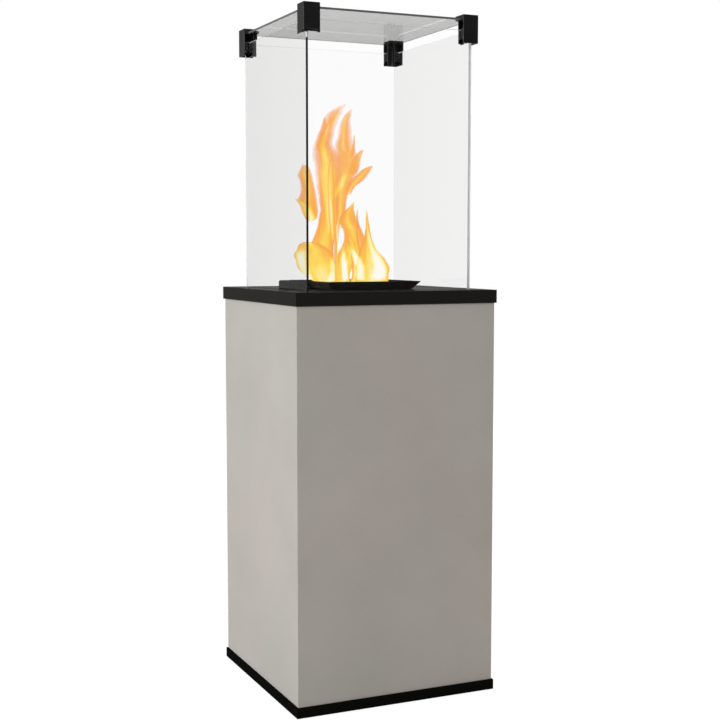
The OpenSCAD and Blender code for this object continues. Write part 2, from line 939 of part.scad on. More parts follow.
module ignition_lead() {
  color("#8a2a22")
    tube(lead_route, tube_r, 4, 8, [1, 0, 0]);
}

// Controls

module gas_valve() {
  color("#b9b6ae")
    difference() {
      union() {
        block(
          [valve_x - valve_w / 2, valve_y, valve_low],
          [valve_x + valve_w / 2, valve_y + valve_d, valve_low + valve_h]
        );
        rod_y(valve_x, valve_z, 14, valve_y + valve_d - cut, post_y);
        rod_x(valve_x - valve_w / 2 - inlet_l, valve_x, inlet_y, inlet_z, hose_r + 1.5);
        rod_x(valve_x + valve_w / 2 - cut, valve_x + valve_w / 2 + 8, inlet_y, inlet_z, 7);
        translate([valve_x - 14, valve_y + 16, valve_low + valve_h - cut])
          cylinder(r = 9, h = 7);
        translate([valve_x + 16, valve_y + 16, valve_low + valve_h - cut])
          cylinder(r = 5, h = 6, $fn = 6);
      }
      rod_y(valve_x, valve_z, spindle_r + fit, spindle_y, post_y + cut);
    }
}

module piezo_igniter() {
  color("#2b2b2b")
    difference() {
      union() {
        rod_y(piezo_x, valve_z, piezo_r - fit, post_y - piezo_l, fascia_face);
        rod_y(piezo_x, valve_z, piezo_r + 3, fascia_face, fascia_face + bezel_t);
        rod_y(piezo_x, valve_z, piezo_r + 4, post_y - 5, post_y);
      }
      rod_y(
        piezo_x, valve_z, button_r + fit,
        post_y - button_in - press - 2, fascia_face + bezel_t + cut
      );
    }
}

module control_fascia() {
  color("#1b1b1b")
    difference() {
      block([-fascia_r, post_y, fascia_z], [fascia_r, fascia_out, frame_z]);
      block(
        [-fascia_r + sheet_t, fascia_face, fascia_z + sheet_t],
        [fascia_r - sheet_t, fascia_out + cut, frame_z - sheet_t]
      );
      rod_y(valve_x, valve_z, spindle_r + 2, post_y - cut, fascia_face + cut);
      rod_y(piezo_x, valve_z, piezo_r, post_y - cut, fascia_face + cut);
      translate([hinge_x, hinge_y, fascia_z - cut])
        cylinder(r = bush_r + fit, h = sheet_t + 2 * cut);
      for (i = [-4:4])
        block(
          [14 * i - 2.5, post_y - cut, valve_z + knob_r + 6],
          [14 * i + 2.5, fascia_face + cut, valve_z + knob_r + 14]
        );
      for (s = [-1, 1], z = fascia_screw_z)
        rod_y(s * (in_r - panel_screw_in), z, screw_r + fit, post_y - cut, fascia_face + cut);
    }
}

// Screws of the control panel and of the burner tray
module cover_screws() {
  color("#2d2d2d") {
    for (s = [-1, 1], z = fascia_screw_z)
      translate([s * (in_r - panel_screw_in), fascia_face, z])
        rotate([-90, 0, 0])
          screw(2 * sheet_t + 3);
    for (s = [-1, 1], y = [-pan_screw_y, pan_screw_y])
      translate([s * pan_screw_x, y, rim_z + tray_t]) {
        cylinder(r1 = small_head, r2 = small_head - 0.8, h = 1.4);
        translate([0, 0, -tray_t - pan_t - sheet_t - 3])
          cylinder(r = small_r, h = tray_t + pan_t + sheet_t + 3);
      }
  }
}

// Shelf between the bottle and the burner bay
module heat_shield() {
  r = in_r - sheet_t;
  back = post_y - sheet_t;
  color("#b4b4b0")
    difference() {
      block([-r, -r, shield_z], [r, back, shield_z + shield_lip]);
      block(
        [-r + pan_t, -r + pan_t, shield_z + pan_t],
        [r - pan_t, back - pan_t, shield_z + shield_lip + cut]
      );
      translate([hose_x, hose_y, shield_z - cut])
        cylinder(r = hose_r + 2, h = pan_t + 2 * cut);
      for (i = [-3:3], s = [-1, 1])
        floor_slot(
          s * 0.6 * in_r, vent_pitch * i - vent_shift, vent_l, vent_w,
          shield_z - cut, shield_z + pan_t + cut
        );
    }
}

module hose_grommet() {
  color("#1a1a1a")
    translate([hose_x, hose_y, shield_z])
      rotate_extrude()
        polygon([
          [hose_r + 0.3, -3], [hose_r + 4, -3], [hose_r + 5, 0], [hose_r + 2, 0],
          [hose_r + 2, pan_t], [hose_r + 5, pan_t], [hose_r + 4, pan_t + 3],
          [hose_r + 0.3, pan_t + 3]
        ]);
}

// Band round the hose, with a strap to the back of the control panel
module hose_clip() {
  z = shield_z + clip_rise;
  w = clip_l;
  top = fascia_z + 12;
  color("#9c9c98")
    difference() {
      union() {
        translate([hose_x, hose_y, z])
          cylinder(r = hose_r + 2, h = w);
        block([hose_x - 1, hose_y + hose_r, z], [hose_x + 1, post_y, top]);
        block([hose_x - 8, post_y - 1.5, fascia_z + 2], [hose_x + 8, post_y, top]);
      }
      translate([hose_x, hose_y, z - cut])
        cylinder(r = hose_r + 0.3, h = w + 2 * cut);
    }
}

module gas_hose() {
  color("#c4561e")
    tube(hose_route, hose_r, 3, 12, [1, 0, 0]);
}

// Bottle

// Half arc of steel that the bottle is pushed against
module bottle_stop() {
  color("#2a2a2a")
    translate([bottle_x, bottle_y, tray_top]) {
      rotate([0, 0, 180])
        rotate_extrude(angle = 180, $fn = 96)
          polygon([[stop_r, 0], [stop_r + sheet_t, 0], [stop_r + sheet_t, stop_h], [stop_r, stop_h]]);
      for (a = [215, 270, 325])
        rotate([0, 0, a])
          block([stop_r + sheet_t / 2, -10, 0], [stop_r + sheet_t + 15, 10, sheet_t]);
    }
}

// Half outline of the bottle, set in by the given wall
function bottle_outline(t) = concat(
  [for (i = [0:dome_steps]) let (a = 90 * i / dome_steps)
    [(bottle_r - t) * sin(a), dome_gap + dome_low - (dome_low - t) * cos(a)]],
  [for (i = [0:dome_steps]) let (a = 90 * i / dome_steps)
    [(bottle_r - t) * cos(a), shoulder + (dome_top - t) * sin(a)]]
);

// Welded steel bottle with its foot ring, boss and guard collar
module gas_bottle() {
  foot_top = dome_gap + dome_low * 0.55;
  collar_z = shoulder + dome_top * 0.7;
  bead = 4;
  color("#9fb0b4")
    translate([bottle_x, bottle_y, bottle_z])
      difference() {
        union() {
          rotate_extrude($fn = 96)
            polygon(bottle_outline(0));
          cylinder(r = ring_r, h = foot_top, $fn = 96);
          translate([0, 0, collar_z])
            cylinder(r = collar_r, h = bottle_h - bead - collar_z, $fn = 96);
          translate([0, 0, bottle_h - bead])
            rotate_extrude($fn = 96)
              translate([collar_r - bead / 2, 0])
                circle(r = bead, $fn = 24);
          cylinder(r = boss_r, h = boss_top);
        }
        rotate_extrude($fn = 96)
          polygon(bottle_outline(bottle_t));
        difference() {
          translate([0, 0, -cut])
            cylinder(r = ring_r - bottle_t, h = foot_top + 2 * cut, $fn = 96);
          rotate_extrude($fn = 96)
            polygon(bottle_outline(0));
        }
        difference() {
          translate([0, 0, collar_z])
            cylinder(r = collar_r - bottle_t, h = bottle_h, $fn = 96);
          rotate_extrude($fn = 96)
            polygon(bottle_outline(0));
          cylinder(r = boss_r, h = boss_top);
        }
        translate([0, 0, shoulder])
          cylinder(r = stem_r + fit, h = bottle_h);
        for (s = [-1, 1])
          block(
            [min(s * 50, s * (collar_r + bead)), -reg_r - 8, outlet_z - reg_h / 2 - 8],
            [max(s * 50, s * (collar_r + bead)), reg_r + 8, outlet_z + reg_h / 2 + 12]
          );
      }
}

module bottle_valve() {
  color("#b5933f")
    translate([bottle_x, bottle_y, bottle_z])
      difference() {
        union() {
          translate([0, 0, boss_top - 14])
            cylinder(r = stem_r, h = 15);
          translate([0, 0, boss_top])
            cylinder(r = 17, h = 14, $fn = 6);
          translate([0, 0, boss_top + 13])
            cylinder(r = 12, h = valve_top - boss_top - 13);
          rod_x(-outlet_l, 0, 0, outlet_z, 10);
          rod_x(0, 20, 0, outlet_z, 7);
        }
        translate([0, 0, valve_top - 16])
          cylinder(r = 5 + fit, h = 16 + cut);
        rod_x(-outlet_l - cut, -outlet_l + 10, 0, outlet_z, 6);
      }
}

// Handwheel with a lobed rim and its screw spindle
module handwheel() {
  z = valve_top + 6;
  color("#2f5f9e")
    translate([bottle_x, bottle_y, bottle_z])
      difference() {
        union() {
          translate([0, 0, valve_top - 15.5])
            cylinder(r = 5, h = 22);
          translate([0, 0, z])
            cylinder(r = wheel_r, h = 12);
          translate([0, 0, z + 11])
            cylinder(r = 9, h = 4);
        }
        for (a = [0:45:315])
          rotate([0, 0, a + 22.5])
            translate([wheel_r + 3, 0, z - cut])
              cylinder(r = 7, h = 12 + 2 * cut);
        translate([0, 0, z + 9])
          difference() {
            cylinder(r = wheel_r - 6, h = 4);
            translate([0, 0, -cut])
              cylinder(r = 11, h = 6);
          }
      }
}

// Low-pressure regulator with its union nut and hose tail
module regulator() {
  z = bottle_z + outlet_z;
  nut_x = bottle_x - outlet_l;
  color("#7d8487")
    difference() {
      union() {
        translate([nut_x - reg_in, bottle_y, z])
          rotate([0, 90, 0])
            cylinder(r = 18, h = reg_in, $fn = 6);
        rod_x(reg_x, nut_x - reg_in + 1, bottle_y, z, 9);
        translate([reg_x, bottle_y, z - reg_h / 2])
          cylinder(r = reg_r, h = reg_h * 0.62);
        translate([reg_x, bottle_y, z - reg_h / 2 + reg_h * 0.62])
          cylinder(r1 = reg_r, r2 = reg_r * 0.6, h = reg_h * 0.3);
        translate([reg_x, bottle_y, z - reg_h / 2])
          cylinder(r = 10, h = reg_h + 6);
        translate([reg_x, bottle_y + reg_r + barb_l, z])
          rotate([90, 0, 0])
            cylinder(r = hose_r + 1.5, h = reg_r + barb_l);
      }
      rod_x(nut_x - 4, nut_x + cut, bottle_y, z, 6);
    }
}

// Door

// Flanged bushes that the door pins turn in
module hinge_bush(z, up) {
  translate([hinge_x, hinge_y, z])
    mirror([0, 0, up ? 0 : 1])
      difference() {
        union() {
          cylinder(r = bush_r, h = bush_l);
          translate([0, 0, -bush_t])
            cylinder(r = bush_r + 3, h = bush_t);
        }
        translate([0, 0, -bush_t - cut])
          cylinder(r = pin_r + fit, h = bush_l + bush_t + 2 * cut);
      }
}

module hinge_bushes() {
  color("#d8d4c8") {
    hinge_bush(tray_top, false);
    hinge_bush(fascia_z, true);
  }
}

module door_seal() {
  color("#262626")
    block(
      [-door_r - 2, post_y, door_z + 20],
      [-door_r + 8, door_y - 0.3, door_top - 20]
    );
}

// One louvre: a slot in the sheet under a half-round hood that opens downward
module louvre_hood(x, z, l) {
  difference() {
    rod_x(x - l / 2, x + l / 2, door_face - door_t, z, 5.4);
    rod_x(x - l / 2 + 1, x + l / 2 - 1, door_face - door_t, z, 4.4);
    block([x - l, door_face - 10, z - 8], [x + l, door_face - door_t, z + 8]);
    block([x - l / 2 + 1, door_face - 10, z - 8], [x + l / 2 - 1, door_face + 8, z - 1]);
  }
}

louvre_l = 110;
louvre_pitch = 16;
louvre_x = [-75, 75];
louvre_low = door_z + 40;
louvre_high = door_top - 40 - louvre_pitch * (louvre_n - 1);

module rear_door() {
  color("#1b1b1b")
    difference() {
      union() {
        difference() {
          block([-door_r, door_y, door_z], [door_r, door_face, door_top]);
          block(
            [-door_r + door_t, door_y - cut, door_z + door_t],
            [door_r - door_t, door_face - door_t, door_top - door_t]
          );
          for (x = louvre_x, z0 = [louvre_low, louvre_high], i = [0:louvre_n - 1])
            block(
              [x - louvre_l / 2 + 1, door_face - door_t - cut, z0 + i * louvre_pitch - 3],
              [x + louvre_l / 2 - 1, door_face + cut, z0 + i * louvre_pitch + 4]
            );
        }
        for (x = louvre_x, z0 = [louvre_low, louvre_high], i = [0:louvre_n - 1])
          louvre_hood(x, z0 + i * louvre_pitch, louvre_l);
      }
      for (z = [door_z, door_top - door_t])
        translate([hinge_x, hinge_y, z - cut])
          cylinder(r = pin_r + fit, h = door_t + 2 * cut);
      rod_y(lock_x, lock_z, lock_r + 2, door_face - door_t - cut, door_face + cut);
    }
}

module hinge_pin(z, up) {
  translate([hinge_x, hinge_y, z])
    mirror([0, 0, up ? 0 : 1]) {
      cylinder(r = pin_r, h = door_t + 2 + bush_l);
      translate([0, 0, -pin_head_l])
        cylinder(r = pin_head, h = pin_head_l);
    }
}

module hinge_pins() {
  color("#b0b0ac") {
    hinge_pin(door_z + door_t, false);
    hinge_pin(door_top - door_t, true);
  }
}

// Threaded housing of the lock, clamped in the door with its nut
module lock_housing() {
  inner_face = door_face - door_t;
  color("#8f8f8c")
    difference() {
      union() {
        rod_y(lock_x, lock_z, lock_r + 2 - fit, cam_y + cam_t + 1, door_face);
        rod_y(lock_x, lock_z, lock_head, door_face, door_face + 1);
        translate([lock_x, inner_face, lock_z])
          rotate([90, 0, 0])
            cylinder(r = lock_r + 5, h = 4, $fn = 6);
      }
      rod_y(lock_x, lock_z, lock_r + fit, cam_y, door_face + 2);
    }
}

// Quarter-turn barrel with its wing outside and its cam inside the door
module door_lock() {
  color("#a4a4a0") {
    rod_y(lock_x, lock_z, lock_r, cam_y, door_face + 1.5);
    block(
      [lock_x - 2, door_face + 1.5, lock_z - lock_head + 1],
      [lock_x + 2, plate_r - 0.6, lock_z + lock_head - 1]
    );
    difference() {
      block([lock_x - cam_w / 2, cam_y, lock_z], [lock_x + cam_w / 2, cam_y + cam_t, lock_z + cam_l]);
      rod_y(lock_x, lock_z, lock_r, cam_y - cut, cam_y + cam_t + cut);
    }
    rod_y(lock_x, lock_z, 4, cam_y - 4, cam_y);
  }
}

// Moving controls

module valve_spindle() {
  color("#b5933f")
    rod_y(valve_x, valve_z, spindle_r, spindle_y + 0.5, spindle_end);
}

// Knob with a grip bar, bored for the spindle
module control_knob() {
  face = knob_y + knob_l;
  color("#111111")
    difference() {
      union() {
        translate([valve_x, face - 5, valve_z])
          rotate([90, 0, 0])
            cylinder(r1 = knob_r - 1, r2 = knob_r, h = knob_l - 5);
        intersection() {
          rod_y(valve_x, valve_z, knob_r - 1, face - 5, face);
          block([valve_x - 4, face - 6, valve_z - knob_r], [valve_x + 4, face + 1, valve_z + knob_r]);
        }
      }
      rod_y(valve_x, valve_z, spindle_r + fit, knob_y - cut, face - knob_wall);
      block([valve_x - 0.8, face - 1, valve_z], [valve_x + 0.8, face + 1, valve_z + knob_r]);
    }
}

module igniter_button() {
  out = fascia_face + bezel_t + button_out;
  color("#b3261e")
    difference() {
      rod_y(piezo_x, valve_z, button_r, post_y - button_in, out);
      translate([piezo_x, out + 21, valve_z])
        sphere(r = 22);
    }
}

// Glass top

module glass_lid() {
  color("#dfeaec", 0.4)
    square_block(glass_r, lid_z, lid_top);
}

// Clip drawn at the +X +Y corner
module corner_clip() {
  low = clip_r - clip_w;
  difference() {
    block([low, low, clip_z], [clip_r, clip_r, clip_top]);
    block([low - cut, low - cut, clip_z - cut], [clip_r - clip_t, clip_r - clip_t, clip_top - clip_t]);
  }
  block([low, clip_in, clip_z], [clip_in + clip_t, clip_in + clip_t, lid_z]);
  block([clip_in, low, clip_z], [clip_in + clip_t, clip_in + clip_t, lid_z]);
  block([low, clip_in, pane_top], [clip_r - cut, clip_r - cut, pane_top + clip_t]);
  block([clip_in, low, pane_top], [clip_r - cut, clip_r - cut, pane_top + clip_t]);
}

// Cuts in the lower edge of the clip at the +X +Y corner
module clip_notches() {
  mid = clip_r - clip_w / 2;
  block(
    [mid - notch_w / 2, clip_r - clip_t - cut, clip_z - cut],
    [mid + notch_w / 2, clip_r + cut, clip_z + notch_h]
  );
  block(
    [mid - notch_w / 2, clip_in - cut, clip_z - cut],
    [clip_in + clip_t + cut, clip_in + clip_t + cut, clip_z + notch_h + 4]
  );
  block(
    [clip_r - clip_t - cut, clip_r - clip_t - notch_side, clip_z - cut],
    [clip_r + cut, clip_r - clip_t, clip_z + notch_h]
  );
}

// Liner drawn at the +X +Y corner: a grip round the panes and a cap round the lid's corner
module clip_liner() {
  low = clip_r - clip_w;
  wall_in = clip_in + clip_t;
  wall_out = clip_r - clip_t;
  near = glass_r - glass_t - liner_play;
  far = glass_r + liner_play;
  difference() {
    union() {
      block([low, wall_in, pane_top - liner_h], [wall_out, wall_out, pane_top]);
      block([wall_in, low, pane_top - liner_h], [wall_out, wall_out, pane_top]);
    }
    block([low - cut, near, pane_top - liner_h - cut], [far, far, pane_top + cut]);
    block([near, low - cut, pane_top - liner_h - cut], [far, far, pane_top + cut]);
  }
  difference() {
    block([low, low, lid_z], [wall_out, wall_out, clip_top - clip_t]);
    square_block(glass_r, lid_z - cut, lid_top);
  }
}

module clip_front_left() {
  color("#141414")
    at_corner(-1, -1)
      difference() {
        corner_clip();
        clip_notches();
      }
}

module clip_front_right() {
  color("#141414")
    at_corner(1, -1)
      corner_clip();
}

module clip_rear_left() {
  color("#141414")
    at_corner(-1, 1)
      corner_clip();
}

module clip_rear_right() {
  color("#141414")
    at_corner(1, 1)
      corner_clip();
}

module clip_liners() {
  color("#1f1f1f")
    for (sx = [-1, 1], sy = [-1, 1])
      at_corner(sx, sy)
        clip_liner();
}

base_tray();
rubber_feet();
post_front_left();
post_front_right();
post_rear_left();
post_rear_right();
top_frame();
front_panel();
left_panel();
right_panel();
frame_screws();
top_plate();
glass_channel();
pane_seals();
burner_deck();
pane_front();
pane_rear();
pane_left();
pane_right();
burner_pan();
burner_tray();
burner_head();
venturi();
injector();
supply_pipe();
pilot_cover();
pilot_burner();
pilot_tube();
thermocouple();
ignition_electrode();
ignition_lead();
gas_valve();
piezo_igniter();
control_fascia();
cover_screws();
heat_shield();
hose_grommet();
hose_clip();
gas_hose();
bottle_stop();
gas_bottle();
bottle_valve();
regulator();
hinge_bushes();
door_seal();
rear_door();
hinge_pins();
lock_housing();
door_lock();
valve_spindle();
control_knob();
igniter_button();
handwheel();
glass_lid();
clip_front_left();
clip_front_right();
clip_rear_left();
clip_rear_right();
clip_liners();
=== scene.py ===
import json
import math
from contextlib import contextmanager
from functools import cache

import bmesh
import bpy
from bpy.props import FloatProperty, FloatVectorProperty, IntProperty, PointerProperty
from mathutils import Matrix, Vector, noise


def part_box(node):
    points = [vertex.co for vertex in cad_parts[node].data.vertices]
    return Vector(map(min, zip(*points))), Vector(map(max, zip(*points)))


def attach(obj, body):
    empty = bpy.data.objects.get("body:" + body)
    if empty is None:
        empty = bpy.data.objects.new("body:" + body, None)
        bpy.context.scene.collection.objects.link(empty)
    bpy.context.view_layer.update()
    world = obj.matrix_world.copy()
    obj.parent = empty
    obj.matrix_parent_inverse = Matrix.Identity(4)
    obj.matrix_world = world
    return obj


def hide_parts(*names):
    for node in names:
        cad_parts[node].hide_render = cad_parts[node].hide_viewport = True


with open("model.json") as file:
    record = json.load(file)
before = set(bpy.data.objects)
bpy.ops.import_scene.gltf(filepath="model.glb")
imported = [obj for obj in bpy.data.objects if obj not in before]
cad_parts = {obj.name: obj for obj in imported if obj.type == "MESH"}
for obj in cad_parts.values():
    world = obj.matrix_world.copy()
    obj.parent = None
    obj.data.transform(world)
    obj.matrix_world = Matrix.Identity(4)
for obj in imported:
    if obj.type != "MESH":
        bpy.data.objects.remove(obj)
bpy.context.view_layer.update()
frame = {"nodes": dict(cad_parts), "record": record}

bl_info = {
    "name": "Gas patio heater",
    "version": (1, 0, 0),
    "blender": (4, 5, 0),
    "location": "View3D > Sidebar > Heater",
    "description": "Finishes, small parts, flames and studio of a gas patio heater",
    "category": "Object",
}

NODES = frame["nodes"]
BODY_OF = {
    node: body
    for body, members in frame["record"]["behaviour"]["bodies"].items()
    for node in members
}
SLOT_OF = {row["node"]: row["material_slot"] for row in frame["record"]["subparts"]}
UP = Vector((0, 0, 1))
PORT_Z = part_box("burner_head")[1].z
CLIP_LOW, CLIP_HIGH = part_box("clip_front_left")

# A pane is painted dark inside the clips, as painted shade: over this height and so far from the
# middle.
# The near edge is painted dark under its own height too, as painted shade where the photograph
# shows it against black
GRIPPED_Z = CLIP_LOW.z + 0.0035
GRIPPED_REACH = 0.001 - CLIP_HIGH.x
NEAR_EDGE_Z = CLIP_LOW.z - 0.008

# Edges over the first angle are rounded, and over the second they stay creases in the shading
SHARP_ANGLE, CREASE_ANGLE = math.radians(40), math.radians(50)
# Roundings that no setting changes, and the shares of a setting's rounding on lighter parts
FOOT_EDGE, BOTTLE_EDGE, CLIP_EDGE, LINER_EDGE = 0.0015, 0.0008, 0.0006, 0.0002
THIN, SMALL, FINE = 0.7, 0.6, 0.5
FACING = 0.9            # a face with this much of its normal along an axis looks along it
MIRRORED_PAINTED_GLOW = 0.06    # the painted glow of a lit glass edge as glass mirrors it
FLAME_HEIGHT = 0.357    # the height that the tongues are drawn for
WHITE, DUST = (1.0, 1.0, 1.0), (0.33, 0.31, 0.28)
COLOUR = "NodeSocketColor"


def srgb(red, green, blue):
    """Colour as read off a screen, 0 to 255, in the linear values that Blender keeps."""
    def one(value):
        value /= 255
        return value / 12.92 if value <= 0.04045 else ((value + 0.055) / 1.055) ** 2.4
    return one(red), one(green), one(blue)


def swatch(name, description, rgb):
    """A colour setting."""
    return FloatVectorProperty(
        name=name, description=description, subtype="COLOR", size=3, min=0, max=1,
        default=srgb(*rgb),
    )


def length_of(name, description, default):
    """A length setting."""
    return FloatProperty(
        name=name, description=description, subtype="DISTANCE", unit="LENGTH", min=0,
        default=default,
    )


class HeaterSizes(bpy.types.PropertyGroup):
    """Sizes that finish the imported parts."""
    sheet_edge: length_of("Sheet edge", "Rounding of folded sheet edges", 0.0008)
    panel_edge: length_of("Panel edge", "Rounding of the cladding edges", 0.0012)
    cast_edge: length_of("Cast edge", "Rounding of cast and machined edges", 0.0006)
    glass_edge: length_of("Glass edge", "Ground arris of the panes and lid", 0.0004)
    hose_radius: length_of("Hose radius", "Outside radius of the gas hose", 0.006)
    pipe_radius: length_of("Pipe radius", "Outside radius of the supply pipe", 0.004)
    capillary_radius: length_of(
        "Capillary radius", "Outside radius of the thin tubes", 0.002)
    knob_grips: IntProperty(
        name="Knob grips", description="Ribs round the control knob", default=28, min=8, max=60,
    )
    flame_height: length_of(
        "Flame height", "Height of the tallest flame over the ports", FLAME_HEIGHT)


class HeaterColours(bpy.types.PropertyGroup):
    """Colours of the finishes."""
    cladding: swatch("Cladding", "Concrete-look panels", (172, 166, 158))
    cladding_warm: swatch("Cladding warm", "Warm drift of the panels", (176, 166, 157))
    cladding_cool: swatch("Cladding cool", "Greenish drift of the panels", (166, 166, 155))
    black_coat: swatch("Black coat", "Powder-coated sheet", (33, 31, 28))
    black_frame: swatch("Black frame", "Coated frame inside the column", (32, 31, 30))
    # Painted shade: the pilot cover's coat is painted darker than the other black coats, against
    # the light the glass mirrors over it
    cover_black_painted_shade: swatch("Cover black", "Coat of the pilot cover", (15, 14, 12))
    # Painted shade: the base band's coat is painted darker than the same black coat elsewhere, for
    # its shade near the floor
    base_black_painted_shade: swatch("Base black", "Coat of the base band", (15, 15, 13))
    clip_black: swatch("Clip black", "Corner clips of the glass", (12, 12, 11))
    # Painted light: the tray's own heat-proof black coat is painted lighter than the other black
    # coats for its shaded flared sides
    tray_black: swatch("Tray black", "Heat-proof coat of the burner tray", (58, 54, 49))
    # Painted shade: the near edges and the glass inside the clips are painted dark
    edge_near_painted_shade: swatch("Near edge", "Ground edge of two panes in front", (24, 25, 25))
    # Painted shade: the lid's ground edge is painted darker than the panes' edges
    edge_lid_painted_shade: swatch("Lid edge", "Ground edge of the lid", (98, 98, 95))
    # Painted light: the pane tops are painted lighter than the other ground edges, and given a
    # painted glow
    edge_top_painted_light: swatch("Top edge", "Ground top edges of the panes", (236, 237, 235))
    edge_pale: swatch("Pale edge", "Ground edges of the panes elsewhere", (222, 222, 219))
    zinc: swatch("Zinc", "Zinc-plated steel", (176, 178, 178))
    stainless: swatch("Stainless", "Stainless steel of the burner", (178, 176, 172))
    brass: swatch("Brass", "Valve and nozzle", (196, 164, 92))
    copper: swatch("Copper", "Flame probe and its lead", (190, 118, 82))
    cast_alloy: swatch("Cast alloy", "Die-cast valve body", (158, 160, 160))
    hose: swatch("Hose", "Gas hose", (196, 92, 34))
    bottle: swatch("Bottle", "Enamel of the gas bottle", (150, 156, 160))
    handwheel: swatch("Handwheel", "Moulded wheel of the bottle", (44, 84, 146))
    button: swatch("Button", "Igniter button", (176, 36, 28))
    knob: swatch("Knob", "Control knob", (24, 24, 25))
    knob_line: swatch("Knob line", "Pointer on the knob", (214, 212, 206))
    rubber: swatch("Rubber", "Feet, seal and grommet", (30, 30, 30))
    silicone: swatch("Silicone", "Strips that hold the glass", (24, 24, 24))
    ceramic: swatch("Ceramic", "Body of the spark electrode", (224, 220, 208))
    nylon: swatch("Nylon", "Hinge bushes", (206, 202, 188))
    lead_sleeve: swatch("Lead sleeve", "Sleeve of the spark lead", (140, 44, 36))
    flame_tip: swatch("Flame tip", "Thin outer flame", (245, 158, 104))
    flame_body: swatch("Flame body", "Middle of the flame", (252, 178, 78))
    flame_core: swatch("Flame core", "Hottest streaks", (255, 222, 100))
    flame_root: swatch("Flame root", "Glow at the burner", (255, 247, 190))


class HeaterStudio(bpy.types.PropertyGroup):
    """Light, floor and camera."""
    floor_radius: length_of("Floor radius", "Radius of the floor", 4.5)
    ambient: FloatProperty(name="Ambient", description="World light on the object", default=0.42)
    key_watts: FloatProperty(name="Key", description="Lamp on the left", default=106.0)
    fill_watts: FloatProperty(name="Fill", description="Lamp over the front", default=22.0)
    top_watts: FloatProperty(name="Top", description="Lamp above", default=30.0)
    rear_watts: FloatProperty(name="Rear", description="Lamp behind, on the door", default=42.0)
    focal_length: FloatProperty(
        name="Focal length", description="Camera lens", unit="CAMERA", default=65.596,
    )


def sizes():
    return bpy.context.scene.heater_sizes


def colours():
    return bpy.context.scene.heater_colours


def studio():
    return bpy.context.scene.heater_studio


# Node trees

def add_node(tree, kind, inputs=None, **settings):
    """Adds a node; an input may be given a value or a socket to link from."""
    node = tree.nodes.new(kind)
    for key, value in settings.items():
        setattr(node, key, value)
    for key, value in (inputs or {}).items():
        socket = node.inputs[key]
        if isinstance(value, bpy.types.NodeSocket):
            tree.links.new(value, socket)
        elif socket.type == "RGBA" and len(value) == 3:
            socket.default_value = (*value, 1.0)
        else:
            socket.default_value = value
    return node


def new_group(name, inputs, outputs, kind="ShaderNodeTree"):
    """Node group; each input is given its default value or else its socket type."""
    tree = bpy.data.node_groups.new(name, kind)
    kinds = {float: "NodeSocketFloat", int: "NodeSocketInt", tuple: "NodeSocketVector"}
    for title, value in inputs.items():
        socket_type = kinds.get(type(value), value)
        socket = tree.interface.new_socket(
            title.replace("_", " "), in_out="INPUT", socket_type=socket_type)
        if socket_type is not value:
            socket.default_value = value
    for title, socket_type in outputs.items():
        tree.interface.new_socket(title, in_out="OUTPUT", socket_type=socket_type)
    return tree, tree.nodes.new("NodeGroupInput").outputs, tree.nodes.new("NodeGroupOutput").inputs


def shader_group(name, *outputs, **inputs):
    """Shader group that takes a colour and gives back a colour and float masks."""
    return new_group(name, {"Colour": COLOUR, **inputs},
                     {"Colour": COLOUR, **dict.fromkeys(outputs, "NodeSocketFloat")})


def value_of(tree, kind, inputs=None, **settings):
    """The first output of a new node."""
    return add_node(tree, kind, inputs, **settings).outputs[0]


def give_out(tree, out, **results):
    """Links the results of a group to its outputs."""
    for title, socket in results.items():
        tree.links.new(socket, out[title])
    return tree


def math_node(tree, operation, a, b=0.0, c=0.0, clamp=False):
    return value_of(
        tree, "ShaderNodeMath", {0: a, 1: b, 2: c}, operation=operation, use_clamp=clamp)


def times(tree, first, *factors):
    """The product of sockets and values."""
    for factor in factors:
        first = math_node(tree, "MULTIPLY", first, factor)
    return first


def mix_colour(tree, factor, a, b, blend="MIX"):
    return add_node(
        tree, "ShaderNodeMix", {0: factor, 6: a, 7: b}, data_type="RGBA", blend_type=blend,
    ).outputs[2]


def shaded(tree, colour, shade):
    """A colour times a grey shade."""
    grey = value_of(tree, "ShaderNodeCombineColor", {0: shade, 1: shade, 2: shade})
    return mix_colour(tree, 1.0, colour, grey, "MULTIPLY")


def map_range(tree, value, low, high, to_low=0.0, to_high=1.0, smooth=False):
    return add_node(
        tree, "ShaderNodeMapRange",
        {"Value": value, "From Min": low, "From Max": high, "To Min": to_low, "To Max": to_high},
        interpolation_type="SMOOTHSTEP" if smooth else "LINEAR",
    ).outputs["Result"]


def noise_of(tree, place, scale, detail=3.0, roughness=0.55):
    return add_node(
        tree, "ShaderNodeTexNoise",
        {"Vector": place, "Scale": scale, "Detail": detail, "Roughness": roughness},
    ).outputs["Fac"]


def mapped(tree, place, location=(0, 0, 0), scale=(1, 1, 1)):
    return value_of(
        tree, "ShaderNodeMapping", {"Vector": place, "Location": location, "Scale": scale})


def object_place(tree):
    return add_node(tree, "ShaderNodeTexCoord").outputs["Object"]


def stored(tree, name):
    """A value that the mesh keeps as an attribute."""
    return add_node(tree, "ShaderNodeAttribute", attribute_name=name).outputs["Fac"]


def colour_ramp(tree, factor, *stops):
    """A ramp through (position, colour) stops, the first and last of which are its ends."""
    ramp = add_node(tree, "ShaderNodeValToRGB", {"Fac": factor})
    ends, bar = (stops[0], stops[-1]), ramp.color_ramp
    for element, (position, colour) in zip(bar.elements, ends):
        element.position, element.color = position, (*colour, 1)
    for position, colour in stops[1:-1]:
        bar.elements.new(position).color = (*colour, 1)
    return ramp.outputs["Color"]


# Shared effects: they put out colours, masks and heights only

